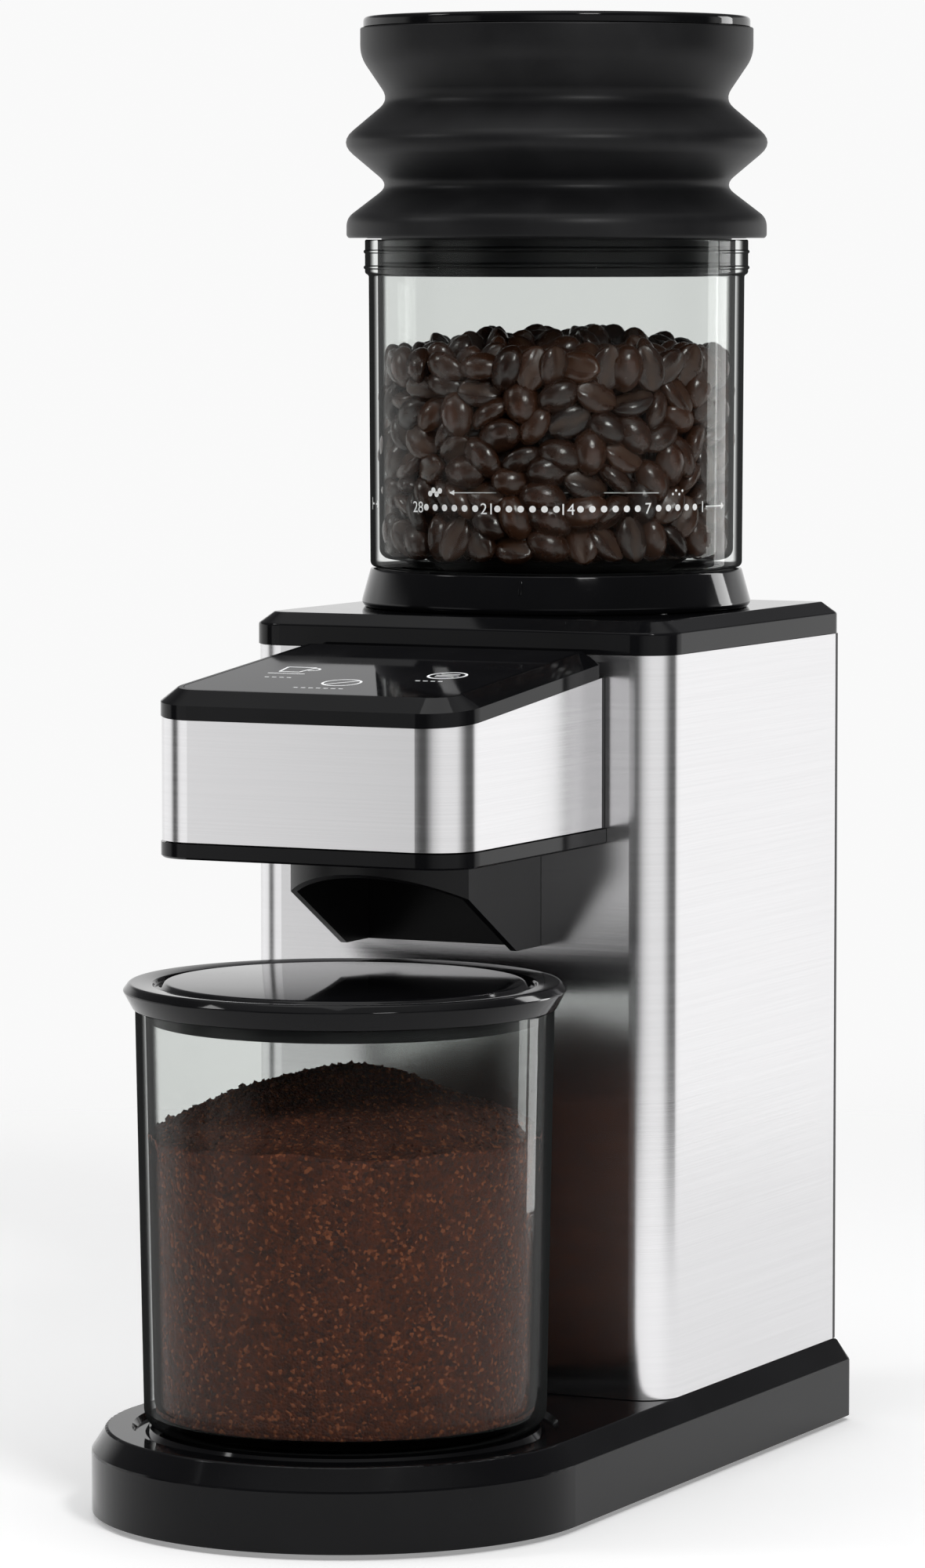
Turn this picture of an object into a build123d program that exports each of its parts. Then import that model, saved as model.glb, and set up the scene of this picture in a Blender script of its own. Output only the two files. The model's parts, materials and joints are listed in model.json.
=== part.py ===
"""Burr coffee grinder with a bellows lid, modelled piece by piece in millimetres.

Frame: +X to the grinder's right, +Y to its rear, +Z up. The origin is the centre of the footprint on the
worktop. Every piece is a closed solid of its own and is written to parts/NODE.step.
"""

import os
from math import atan2, cos, pi, radians, sin, sqrt, tan

from build123d import *

# ---------------------------------------------------------------- driving dimensions
# Base
base_margin = 4.0
base_height = 21.0
base_wall = 2.4
base_bevel_height = 5.7
base_bevel_depth = 3.7
base_corner = 4.0
foot_height = 1.5
foot_radius = 8.0
foot_recess = 1.2
plate_thickness = 3.2
screw_recess = 1.9

# Body
body_width = 120.4
body_height = 192.5
body_front_margin = 13.0
body_corner = 10.0
body_to_rear = 1.3
steel = 0.8
rear_cover_depth = 4.5
rear_corner = 3.6
cover_wall = 2.2
frame_wall = 2.0
cap_height = 8.6
cap_bevel_height = 3.0
cap_bevel_depth = 4.2
cap_wall = 2.4

# Control head
head_width = 87.4
head_past_jar = 24.5
head_drop = 44.4
head_front_height = 30.8
head_slope = 5.35
head_corner = 12.0
head_floor_thickness = 4.1
head_top_wall = 3.7
head_top_bevel_height = 3.3
head_top_bevel_depth = 4.4
head_gap = 2.5
panel_thickness = 0.9
panel_margin = 1.2

# Chute under the head
chute_width = 50.6
chute_behind_jar = 19.3
chute_bulge = 11.0
chute_wall = 1.8
chute_drop = 27.0
chute_foot = 14.5
chute_slope = 29.2

# Hopper, its collar and its bellows lid
hopper_margin = 5.3
hopper_radius = 50.0
hopper_draft = 0.4
hopper_height = 86.9
hopper_wall = 2.4
hopper_floor = 2.2
hopper_rim_step = 1.0
hopper_rim_height = 9.5
throat_radius = 21.0
throat_wall = 2.0
funnel_drop = 14.0
collar_height = 10.2
collar_inset = 0.5
collar_spread = 2.5
collar_ledge = 4.0
plug_depth = 10.0
plug_wall = 2.0
bellows_ring_step = 5.9
bellows_ring_height = 5.3
bellows_valley_step = 4.8
bellows_peak_step = 6.4
bellows_band_step = 2.2
bellows_band_height = 7.6
bellows_pitch = 22.6
bellows_wall = 2.2
lid_cap_inset = 0.8
lid_cap_height = 2.8

# Jar
jar_radius = 52.8
jar_draft = 1.9
jar_height = 105.8
jar_wall = 2.6
jar_floor = 3.6
jar_lid_overhang = 3.1
jar_lid_rim = 7.4
jar_lid_groove_width = 3.2
jar_gap = 6.1
jar_lid_skirt = 3.6
seat_groove_step = 1.2
seat_groove_depth = 1.5

# Drive
motor_radius = 26.0
motor_length = 70.0
motor_shaft_radius = 2.5
gear_module_fast = 1.0
gear_module_slow = 1.25
pinion_teeth = 12
idler_teeth = 48
idler_pinion_teeth = 12
output_teeth = 36
pressure_angle = 25.0
gear_backlash = 0.16
shaft_radius = 5.0
gearbox_radius = 29.0
gearbox_wall = 2.5
gearbox_height = 32.0
gearbox_drop = 97.0
hub_height = 22.0

# Burrs
burr_base_radius = 19.0
burr_top_radius = 11.0
burr_height = 20.0
burr_gap = 1.2
outer_burr_width = 8.8
carrier_wall = 4.5
adjuster_wall = 5.8
adjuster_height = 8.0
chamber_wall = 2.5

# Clearances
fit = 0.2
running = 0.05
slide_gap = 0.4

# ---------------------------------------------------------------- places worked out from them
base_width = body_width + 2 * base_margin
base_half = base_width / 2
body_half = body_width / 2
head_half = head_width / 2
hopper_to_rear = hopper_radius + hopper_margin
body_depth = hopper_to_rear - body_to_rear + hopper_radius + body_front_margin
jar_lid_radius = jar_radius + jar_lid_overhang
jar_lid_groove = jar_lid_radius - jar_lid_rim
jar_lid_disc = jar_lid_groove - jar_lid_groove_width
seat_groove_radius = jar_radius + seat_groove_step
base_length = base_half + jar_lid_radius + jar_gap + body_depth + body_to_rear
deck_z = foot_height + base_height
rear_y = base_length / 2
front_y = -base_length / 2
jar_y = front_y + base_half
hopper_y = rear_y - hopper_to_rear
body_rear = rear_y - body_to_rear
body_front = body_rear - body_depth
body_top = deck_z + body_height
cap_top = body_top + cap_height
wrap_rear = body_rear - rear_cover_depth
head_front = jar_y - head_past_jar
head_bottom = body_top - head_drop
collar_top_radius = hopper_radius - collar_inset
collar_foot_radius = collar_top_radius + collar_spread
collar_bore = hopper_radius - collar_ledge
collar_top = cap_top + collar_height
hopper_rim_radius = hopper_radius + hopper_rim_step
glass_foot = collar_top + slide_gap
glass_top = glass_foot + hopper_height
bellows_ring_radius = hopper_radius + bellows_ring_step
bellows_valley_radius = hopper_radius - bellows_valley_step
bellows_peak_radius = hopper_radius + bellows_peak_step
bellows_band_radius = hopper_radius + bellows_band_step
lid_cap_radius = bellows_band_radius - lid_cap_inset
frame_gap = steel + fit
frame_half = body_half - frame_gap
frame_front = body_front + frame_gap
chute_top = head_bottom - head_floor_thickness - fit
chute_bottom = chute_top - chute_drop
chute_corner = jar_y + chute_behind_jar
jar_foot = deck_z + fit
jar_top = jar_foot + jar_height
lid_foot = glass_top + 0.3
gear_centres = gear_module_fast * (pinion_teeth + idler_teeth) / 2
idler_y = hopper_y - gear_centres
gearbox_deck = body_top - gearbox_drop
gearbox_top = gearbox_deck + gearbox_height
hub_top = gearbox_top + hub_height
burr_z = hub_top + 8.5
burr_top_z = burr_z + burr_height
outer_burr_radius = burr_base_radius + burr_gap + outer_burr_width
carrier_radius = outer_burr_radius + carrier_wall
adjuster_radius = carrier_radius + fit + adjuster_wall
chamber_z = hub_top + fit
chamber_radius = carrier_radius + chamber_wall + 0.6
adjuster_z = burr_top_z + 5.0
chamber_top = adjuster_z + adjuster_height + 1.0
UP = (Align.CENTER, Align.CENTER, Align.MIN)


# ---------------------------------------------------------------- helpers
def rod(radius, z0, z1, x=0.0, y=0.0):
    """Upright cylinder from z0 to z1."""
    return Pos(x, y, z0) * Cylinder(radius, z1 - z0, align=UP)


def ring(outer, inner, z0, z1, x=0.0, y=0.0):
    """Upright tube from z0 to z1."""
    return rod(outer, z0, z1, x, y) - rod(inner, z0 - 1, z1 + 1, x, y)


def box(x0, x1, y0, y1, z0, z1):
    """Box between two corners."""
    return Pos((x0 + x1) / 2, (y0 + y1) / 2, (z0 + z1) / 2) * Box(x1 - x0, y1 - y0, z1 - z0)


def spun(points, x=0.0, y=0.0):
    """Solid of revolution about the upright axis through x, y, from (radius, z) points."""
    return Pos(x, y, 0) * revolve(Plane.XZ * make_face(Polyline(*points, close=True)), Axis.Z)


def outline(half, y0, y1, front, rear):
    """Flat outline, symmetric in X, with its own front and rear corner radii."""
    shape = Pos(0, (y0 + y1) / 2) * Rectangle(2 * half, y1 - y0)
    if front > 0:
        shape = fillet(shape.vertices().group_by(Axis.Y)[0], front)
    if rear > 0:
        shape = fillet(shape.vertices().group_by(Axis.Y)[-1], rear)
    return shape


def tongue(half, y0, centre, corner):
    """Flat outline with a half-round front about centre and a square rear at y0."""
    shape = Pos(0, (y0 + centre) / 2) * Rectangle(2 * half, y0 - centre) + Pos(0, centre) * Circle(half)
    return fillet(shape.vertices().group_by(Axis.Y)[-1], corner)


def prism(shape, z0, z1):
    """Outline extruded from z0 to z1."""
    return extrude(Pos(0, 0, z0) * shape, z1 - z0)


def side_prism(points, half):
    """Polygon of (y, z) points extruded both ways in X."""
    return extrude(Plane.YZ * Polygon(*points, align=None), half, both=True)


def upper_face(solid):
    """Highest face that looks up."""
    return solid.faces().filter_by(lambda face: face.normal_at().Z > 0.9).sort_by(Axis.Z)[-1]


def bevel_top(solid, depth, height):
    """Bevels the rim of the highest face."""
    top = upper_face(solid)
    return chamfer(top.outer_wire().edges(), length=depth, length2=height, reference=top)


def screw(x, y, z, length, head=3.0, shank=1.5, down=True):
    """Pan-head screw with a cross slot, its head's underside at z."""
    way = -1 if down else 1
    body = rod(head, min(z, z - way * 1.8), max(z, z - way * 1.8), x, y)
    body += rod(shank, min(z, z + way * length), max(z, z + way * length), x, y)
    top = z - way * 1.8
    for turn in (0, 90):
        body -= Pos(x, y, top) * Rot(0, 0, turn) * Box(head * 1.2, 0.7, 1.6)
    return body


def group(solids):
    """Separate solids that share one node."""
    return Compound(children=list(solids))


def around(count, radius, x=0.0, y=0.0, start=0.0):
    """Points evenly spaced on a circle."""
    for i in range(count):
        a = radians(start + 360 * i / count)
        yield x + radius * cos(a), y + radius * sin(a)


def slope_z(y, rise):
    """Height, at depth y, of the control head's tilted planes."""
    return head_bottom + head_front_height + rise + tan(radians(head_slope)) * (y - head_front)


def tilted(rise0, rise1, half=None):
    """Slab between two of the head's tilted planes."""
    y0, y1 = head_front - 20, body_front + 20
    low = [(y0, slope_z(y0, rise0)), (y1, slope_z(y1, rise0))]
    high = [(y1, slope_z(y1, rise1)), (y0, slope_z(y0, rise1))]
    return side_prism(low + high, half or head_half + 20)


# ---------------------------------------------------------------- base
foot_places = [(0, front_y + 16)]
base_screw_places = []
for side in (-1, 1):
    foot_places += [(side * (base_half - 20), rear_y - 16), (side * (base_half - 16), jar_y - 2)]
    base_screw_places += [(side * (base_half - 14), rear_y - 36), (side * (base_half - 12), jar_y + 22)]


def base_tray():
    """Glossy shell of the base with its round nose, bevelled rim and the ring that seats the jar."""
    solid = prism(tongue(base_half, rear_y, jar_y, base_corner), foot_height, deck_z)
    solid = bevel_top(solid, base_bevel_depth, base_bevel_height)
    rims = [e for e in solid.edges() if e.bounding_box().min.Z > deck_z - base_bevel_height - 0.1]
    solid = fillet([e for e in rims if e.bounding_box().size.Z < 0.1], 1.0)
    inner = base_half - base_wall
    hollow = prism(tongue(inner, rear_y - base_wall, jar_y, base_corner), foot_height - 1, deck_z - 3.2)
    hollow = bevel_top(hollow, base_bevel_depth, base_bevel_height - 1)
    solid -= hollow
    solid += [
        ring(3.6, 1.6, foot_height + plate_thickness + fit, deck_z - 3.0, x, y)
        for x, y in base_screw_places
    ]
    groove = seat_groove_radius - 2.2
    solid -= spun(
        [
            (groove - 2.2, deck_z + 1),
            (groove - 2.2, deck_z),
            (groove - 1.2, deck_z - seat_groove_depth),
            (groove + 1.2, deck_z - seat_groove_depth),
            (seat_groove_radius, deck_z),
            (seat_groove_radius, deck_z + 1),
        ],
        y=jar_y,
    )
    solid -= box(-18, 18, rear_y - 26, rear_y - 12, deck_z - 5, deck_z + 1)
    return solid


def base_plate():
    """Flat floor closing the base from below."""
    inner = base_half - base_wall - fit
    shape = tongue(inner, rear_y - base_wall - fit, jar_y, base_corner)
    solid = prism(shape, foot_height, foot_height + plate_thickness)
    for x, y in base_screw_places:
        solid -= rod(1.7, 0, 9, x, y)
        solid -= rod(3.3, 0, foot_height + screw_recess, x, y)
    for x, y in foot_places:
        solid -= rod(foot_radius + fit, 0, foot_height + foot_recess, x, y)
    return solid


def rubber_feet():
    """Five soft pads let into the floor."""
    top = foot_height + foot_recess - fit / 2
    return group(
        fillet(rod(foot_radius, 0, top, x, y).edges().group_by(Axis.Z)[0], 0.6)
        for x, y in foot_places
    )


def base_screws():
    """Four screws up through the floor into the base shell."""
    seat = foot_height + screw_recess - 0.1
    return group(screw(x, y, seat, 11, down=False) for x, y in base_screw_places)


# ---------------------------------------------------------------- body
def body_wrap():
    """Brushed steel sheet folded round the front and both sides."""
    outer = outline(body_half, body_front, wrap_rear, body_corner, 0)
    inner = outline(body_half - steel, body_front + steel, wrap_rear + 5, body_corner - steel, 0)
    solid = prism(outer, deck_z + fit, body_top) - prism(inner, deck_z - 1, body_top + 1)
    solid -= box(
        -duct_half - 2, duct_half + 2, body_front - 5, body_front + 5, head_bottom + 0.2, head_bottom + 24
    )
    for x in (-head_bolt_x, head_bolt_x):
        solid -= Pos(x, body_front, head_bottom + 12) * Rot(90, 0, 0) * Cylinder(2.0, 10)
    return solid


def rear_cover():
    """Moulded back with cooling slots, which closes the steel wrap."""
    outer = outline(body_half, wrap_rear + fit, body_rear, 0, rear_corner)
    solid = prism(outer, deck_z + fit, body_top)
    inner = outline(body_half - cover_wall, wrap_rear - 5, body_rear - cover_wall, 0, rear_corner - 1.4)
    solid -= prism(inner, deck_z + fit + cover_wall, body_top - cover_wall)
    lip = outline(frame_half - fit, wrap_rear - 6, wrap_rear + fit, 0, 0)
    hollow = outline(frame_half - fit - 1.6, wrap_rear - 9, wrap_rear + 5, 0, 0)
    top, low = body_top - 0.4, deck_z + 3
    solid += prism(lip, low, top) - prism(hollow, low + 1.6, top - 1.6)
    for row in range(9):
        for z in (deck_z + 40, body_top - 62):
            solid -= box(-26, 26, body_rear - 8, body_rear + 5, z + 4.6 * row, z + 4.6 * row + 2.2)
    solid -= Pos(gland_x, body_rear, gland_z) * Rot(90, 0, 0) * Cylinder(gland_seat + fit / 2, 20)
    for x, z in rear_screw_places:
        solid -= Pos(x, body_rear, z) * Rot(90, 0, 0) * Cylinder(1.7, 20)
        solid -= Pos(x, body_rear - 0.9, z) * Rot(90, 0, 0) * Cylinder(3.3, 1.8 + fit)
    return solid


gland_x, gland_z = body_half - 24.0, deck_z + 16.0
gland_seat, gland_bore, gland_length = 6.0, 3.4, 9.0
rear_screw_x = body_half - 14.0
rear_screw_places = [(-rear_screw_x, deck_z + 14), (rear_screw_x, deck_z + 34)]
rear_screw_places += [(-rear_screw_x, body_top - 12), (rear_screw_x, body_top - 12)]


def cord_gland():
    """Rubber bush in the rear cover where a mains lead enters."""
    out = body_rear + 0.6
    bush = Pos(gland_x, out, gland_z) * Rot(90, 0, 0) * Cylinder(gland_seat, gland_length, align=UP)
    groove = Pos(gland_x, out, gland_z) * Rot(90, 0, 0) * Cylinder(gland_seat + 1.6, 0.6 - 0.05, align=UP)
    bush += groove
    return (
        bush
        - Pos(gland_x, out + 1, gland_z) * Rot(90, 0, 0) * Cylinder(
            gland_bore, gland_length + 2, align=UP
        )
    )


def rear_screws():
    """Four screws that hold the rear cover to the frame."""
    made = []
    for x, z in rear_screw_places:
        one = screw(0, 0, 0, 7, head=3.0, shank=1.5)
        made.append(Pos(x, body_rear - 1.7, z) * Rot(-90, 0, 0) * one)
    return group(made)


def inner_frame():
    """Moulded skeleton inside the wrap, with the deck that carries the drive."""
    outer = outline(frame_half, frame_front, wrap_rear - 7, body_corner - frame_gap, 0)
    inner = outline(
        frame_half - frame_wall,
        frame_front + frame_wall,
        wrap_rear + 9,
        body_corner - frame_gap - frame_wall,
        0,
    )
    low, high = deck_z + fit, body_top - fit
    solid = prism(outer, low, high) - prism(inner, low - 1, high + 1)
    deck = outline(frame_half - frame_wall / 2, frame_front + 1, wrap_rear - 8, body_corner - 3, 0)
    solid += prism(deck, gearbox_deck - 3, gearbox_deck - fit)
    solid -= rod(motor_radius + 1.2, gearbox_deck - 9, gearbox_deck + 9, 0, hopper_y)
    for x in (-frame_half + 6, frame_half - 6):
        solid += box(x - 4, x + 4, wrap_rear - 16, wrap_rear - 8, low, high)
    solid -= box(
        -duct_half - 1, duct_half + 1, body_front - 5, body_front + 8, head_bottom - 2, head_bottom + 27
    )
    for x, z in rear_screw_places:
        solid -= Pos(x, wrap_rear, z) * Rot(90, 0, 0) * Cylinder(1.6, 22)
    for x in (-head_bolt_x, head_bolt_x):
        solid -= Pos(x, body_front, head_bottom + 12) * Rot(90, 0, 0) * Cylinder(1.7, 20)
    return solid


def top_cap():
    """Glossy bevelled cover over the body, open under the hopper."""
    outer = outline(body_half + 0.3, body_front - 0.3, body_rear + 0.1, body_corner, rear_corner + 2)
    solid = prism(outer, body_top + fit, cap_top)
    solid = bevel_top(solid, cap_bevel_depth, cap_bevel_height)
    rims = [e for e in solid.edges() if e.bounding_box().min.Z > cap_top - cap_bevel_height - 0.1]
    solid = fillet([e for e in rims if e.bounding_box().size.Z < 0.1], 0.8)
    hollow = outline(
        body_half - cap_wall, body_front + cap_wall, body_rear - cap_wall, body_corner - 2, rear_corner
    )
    solid -= prism(hollow, body_top - 1, cap_top - cap_wall - 2.4)
    solid -= rod(collar_bore, body_top - 1, cap_top + 1, 0, hopper_y)
    for x, y in around(3, collar_bore + 2.6, 0, hopper_y, 90):
        solid -= rod(1.4, cap_top - 9, cap_top + 1, x, y)
    return solid


def hopper_collar():
    """Fixed tapered ring under the hopper, with the raised index mark."""
    z0, z1 = cap_top + fit / 2, collar_top
    solid = spun(
        [
            (collar_bore, z0),
            (collar_foot_radius - 1.0, z0),
            (collar_foot_radius - 1.0, z0 + 1.0),
            (collar_foot_radius, z0 + 1.4),
            (collar_top_radius, z1 - 0.6),
            (collar_top_radius - 0.6, z1),
            (collar_bore, z1),
        ],
        y=hopper_y,
    )
    mark = Rot(0, 0, index_angle) * box(
        -0.5, 0.5, -collar_top_radius - 0.5, -collar_top_radius + 1.5, z1 - 4.5, z1 - 0.8
    )
    solid += Pos(0, hopper_y, 0) * mark
    for x, y in around(3, collar_bore + 2.6, 0, hopper_y, 90):
        solid -= rod(1.4, z0 - 1, z0 + 6, x, y)
    return solid


index_angle = 14.4


def collar_screws():
    """Three screws from under the cap that hold the collar."""
    z = cap_top - cap_wall - 2.4 - fit / 2
    return group(
        screw(x, y, z, 9, head=2.4, shank=1.3, down=False)
        for x, y in around(3, collar_bore + 2.6, 0, hopper_y, 90)
    )


# ---------------------------------------------------------------- control head
head_screw_x = head_half - 5.6
head_bolt_x = head_half - 11.7


def head_plan(inset=0.0, rear=0.0, rear_radius=0.0):
    """Outline of the control head, inset all round, stopping rear short of the body."""
    return outline(
        head_half - inset, head_front + inset, body_front - rear, max(head_corner - inset, 0.6), rear_radius
    )


def head_frame():
    """Moulded core of the control head, seen as a black line beside the body."""
    solid = prism(head_plan(steel + fit, fit), head_bottom, body_top + 30)
    solid -= prism(head_plan(steel + fit + 2.0, -5), head_bottom - 1, body_top + 40)
    rear = outline(head_half - 0.3, body_front - head_gap + fit, body_front - fit, 0, 0)
    solid += prism(rear, head_bottom, body_top + 30)
    solid -= box(
        -duct_half - 6, duct_half + 6, body_front - 12, body_front + 5, head_bottom - 1, head_bottom + 25
    )
    solid &= tilted(-60, -fit)
    for x in (-head_bolt_x, head_bolt_x):
        solid -= Pos(x, body_front, head_bottom + 12) * Rot(90, 0, 0) * Cylinder(1.7, 20)
    for x in (-head_screw_x, head_screw_x):
        boss = rod(3.2, head_bottom, head_bottom + 16, x, head_front + 20)
        solid += boss - rod(1.4, head_bottom - 1, head_bottom + 12, x, head_front + 20)
    return solid


def head_band():
    """Brushed steel band round the control head."""
    solid = prism(head_plan(0, head_gap), head_bottom + fit, body_top + 30)
    solid -= prism(head_plan(steel, -5), head_bottom - 1, body_top + 40)
    return solid & tilted(-60, 0)


def head_top():
    """Glossy tilted top of the control head with its bevel and the pocket for the touch panel."""
    rise = head_top_wall + head_top_bevel_height
    plan = outline(
        head_half + 0.2, head_front - 0.2, body_front - fit, head_corner, head_top_bevel_depth + 1.0
    )
    solid = prism(plan, head_bottom, body_top + 40) & tilted(fit, rise)
    solid = bevel_top(solid, head_top_bevel_depth, head_top_bevel_height)
    solid = fillet(upper_face(solid).edges(), 0.5)
    hollow = outline(head_half - 2.4, head_front + 2.4, body_front - 3.2, head_corner - 2, 3.0)
    solid -= prism(hollow, head_bottom, body_top + 40) & tilted(-1, rise - 2.6)
    solid -= prism(panel_plan(0), head_bottom, body_top + 40) & tilted(rise - panel_thickness, rise + 9)
    return solid


def panel_plan(gap):
    """Outline of the touch panel, shrunk by gap."""
    inset = head_top_bevel_depth + panel_margin + gap
    return outline(
        head_half + 0.2 - inset, head_front - 0.2 + inset, body_front - fit - inset, head_corner - 5, 2.0
    )


def touch_panel():
    """Flat glass touch panel let into the top."""
    rise = head_top_wall + head_top_bevel_height
    return (
        prism(panel_plan(fit / 2), head_bottom, body_top + 40)
        & tilted(rise - panel_thickness + fit / 4, rise - 0.05)
    )


def head_floor():
    """Black floor of the control head, open above the chute."""
    plan = outline(head_half + 0.2, head_front - 0.2, body_front - fit, head_corner, 0)
    solid = prism(plan, head_bottom - head_floor_thickness, head_bottom - fit)
    solid = chamfer(solid.edges().group_by(Axis.Z)[0], 0.5)
    half = duct_half - 2.5
    solid -= box(-half, half, chute_corner + 10, body_front - 6, head_bottom - 9, head_bottom + 9)
    for x in (-head_screw_x, head_screw_x):
        solid -= rod(1.6, head_bottom - 9, head_bottom + 9, x, head_front + 20)
        solid -= rod(3.2, head_bottom - 9, head_bottom - head_floor_thickness + 2.0, x, head_front + 20)
    return solid


def head_screws():
    """Two screws up through the head's floor and two into the body."""
    made = [
        screw(
            x,
            head_front + 20,
            head_bottom - head_floor_thickness + 1.9,
            11,
            head=3.0,
            shank=1.3,
            down=False,
        )
        for x in (-head_screw_x, head_screw_x)
    ]
    for x in (-head_bolt_x, head_bolt_x):
        made.append(
            Pos(x, body_front - head_gap + fit / 2 - 0.1, head_bottom + 12) * Rot(90, 0, 0) * screw(
                0, 0, 0, 9, shank=1.5
            ),
        )
    return group(made)


def control_board():
    """Circuit board with its keys' controller, under the touch panel."""
    plan = outline(head_half - 8, head_front + 10, body_front - 26, 5, 3)
    board = prism(plan, head_bottom, body_top + 40) & tilted(-6.0, -4.4)
    chip = outline(7, head_front + 36, head_front + 50, 0, 0)
    return board + (prism(chip, head_bottom, body_top + 40) & tilted(-7.6, -5.5))


# ---------------------------------------------------------------- chute and duct
duct_half = 19.0


def chute_plan(inset):
    """Outline of the chute: flat sides and a bulged front."""
    half = chute_width / 2 - inset
    nose = Line((-half, body_front - fit), (-half, chute_corner))
    nose += ThreePointArc(
        (-half, chute_corner), (0, chute_corner - chute_bulge + inset), (half, chute_corner)
    )
    nose += Line((half, chute_corner), (half, body_front - fit))
    nose += Line((half, body_front - fit), (-half, body_front - fit))
    return make_face(nose)


def chute():
    """Funnel under the head, cut off on a slant so that grounds fall forward into the jar."""
    solid = prism(chute_plan(0), chute_bottom, chute_top)
    hollow = prism(chute_plan(chute_wall), chute_bottom - 1, chute_top + 1)
    hollow -= box(-60, 60, body_front - chute_wall - fit, body_front + 9, chute_bottom - 9, chute_top + 9)
    solid -= hollow
    start = body_front - chute_foot
    rise = tan(radians(chute_slope)) * 90
    solid -= side_prism(
        [
            (start, chute_bottom),
            (start - 90, chute_bottom + rise),
            (start - 90, chute_bottom - 9),
            (start, chute_bottom - 9),
        ],
        60,
    )
    return solid


def grounds_duct():
    """Sloping channel from the grinding chamber forward and down into the chute."""
    wall = 1.6
    back, step, front = hopper_y - 28, body_front - 6, chute_corner + 8
    floor_back, floor_front = chamber_z + 2.5, head_bottom + 2.0
    roof_back, roof_front = floor_back + 6.6, floor_front + 11.0
    outer = [(back, floor_back - wall), (step, floor_front - wall), (front, floor_front - wall)]
    outer += [(front, roof_front + wall), (back, roof_back + wall)]
    inner = [
        (back + 9, floor_back),
        (step, floor_front),
        (step, head_bottom - 2),
        (front + wall, head_bottom - 2),
    ]
    inner += [(front + wall, roof_front), (back + 9, roof_back)]
    solid = side_prism(outer, duct_half - 0.5) - side_prism(inner, duct_half - 0.5 - wall)
    return solid - rod(chamber_radius + fit / 2, hub_top - 9, burr_top_z, 0, hopper_y)


# ---------------------------------------------------------------- motor and gears
def gear(teeth, module, z0, z1, tooth_angle, x, y, bore):
    """Straight-cut gear with stub involute teeth, one tooth centred on tooth_angle."""
    pitch = teeth * module / 2
    base = pitch * cos(radians(pressure_angle))
    tip, root = pitch + 0.8 * module, pitch - 1.0 * module
    flank_angle = pressure_angle * pi / 180
    involute_at_pitch = tan(flank_angle) - flank_angle
    half_pitch_tooth = pi / (2 * teeth) - gear_backlash / (2 * pitch)
    radii = [max(base, root) + (tip - max(base, root)) * i / 4 for i in range(5)]
    points = []
    for tooth in range(teeth):
        centre = radians(tooth_angle) + 2 * pi * tooth / teeth
        half = []
        for r in radii:
            a = sqrt(max((r / base) ** 2 - 1, 0.0))
            half.append((r, half_pitch_tooth + involute_at_pitch - (a - atan2(a, 1))))
        if base > root:
            half.insert(0, (root, half[0][1]))
        points += [(r * cos(centre - h), r * sin(centre - h)) for r, h in half]
        points += [(r * cos(centre + h), r * sin(centre + h)) for r, h in reversed(half)]
    solid = Pos(x, y, 0) * prism(Polygon(*points, align=None), z0, z1)
    return solid - rod(bore, z0 - 1, z1 + 1, x, y) if bore else solid


motor_top = gearbox_deck - fit / 2
motor_foot = motor_top - motor_length
fast_z = gearbox_deck + gearbox_wall + 2.5
slow_z = fast_z + 9.5


def motor_can():
    """Drawn steel can of the motor."""
    solid = rod(motor_radius, motor_foot, motor_top - 3, 0, hopper_y)
    solid = fillet(solid.edges().group_by(Axis.Z)[0], 2.0)
    solid -= rod(motor_radius - 1.4, motor_foot + 1.4, motor_top + 1, 0, hopper_y)
    return solid - rod(motor_shaft_radius + 2.1, motor_foot - 1, motor_foot + 9, 0, hopper_y)


def motor_magnets():
    """Two curved magnets inside the can."""
    arc = ring(motor_radius - 1.4 - fit, motor_radius - 6.0, motor_foot + 12, motor_top - 18, 0, hopper_y)
    split = box(-7, 7, hopper_y - 40, hopper_y + 40, motor_foot, motor_top)
    return group((arc - split).solids())


def motor_end_bell():
    """Plate that closes the can and holds the upper motor bush."""
    z = motor_top - 3 + fit / 2
    solid = (
        rod(motor_radius, z, motor_top, 0, hopper_y)
        + rod(motor_radius - 1.4 - fit, z - 2, z, 0, hopper_y)
    )
    solid -= rod(motor_radius - 4, z - 3, z, 0, hopper_y)
    solid += rod(7, z - 4, motor_top + 1.2, 0, hopper_y)
    solid -= rod(motor_shaft_radius + running, motor_foot, motor_top + 9, 0, hopper_y)
    for x in (-12, 12):
        solid -= rod(1.6, z - 1, motor_top + 1, x, hopper_y)
    return solid


def rotor_core():
    """Laminated rotor, drawn with its winding slots."""
    solid = rod(motor_radius - 7.0, motor_foot + 12, motor_top - 18, 0, hopper_y)
    solid -= [
        rod(2.6, motor_foot + 11, motor_top - 17, x, y)
        for x, y in around(7, motor_radius - 9.0, 0, hopper_y)
    ]
    return solid - rod(motor_shaft_radius, motor_foot, motor_top, 0, hopper_y)


def commutator():
    """Copper commutator on the motor shaft."""
    return ring(6.0, motor_shaft_radius, motor_top - 15.5, motor_top - 8.5, 0, hopper_y)


def carbon_brushes():
    """Two brushes beside the commutator."""
    z = motor_top - 14
    pair = [box(a, a + 8, hopper_y - 2, hopper_y + 2, z, z + 4) for a in (6.0 + fit, -14.0 - fit)]
    return group(pair)


def motor_shaft():
    """Motor shaft from its lower bush to the pinion."""
    return rod(motor_shaft_radius, motor_foot - 2, fast_z + 8.5, 0, hopper_y)


def motor_bush():
    """Lower bush of the motor shaft, pressed into the can's floor."""
    solid = ring(
        motor_shaft_radius + 2.0,
        motor_shaft_radius + running,
        motor_foot - 3,
        motor_foot + 5,
        0,
        hopper_y,
    )
    return solid


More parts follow.
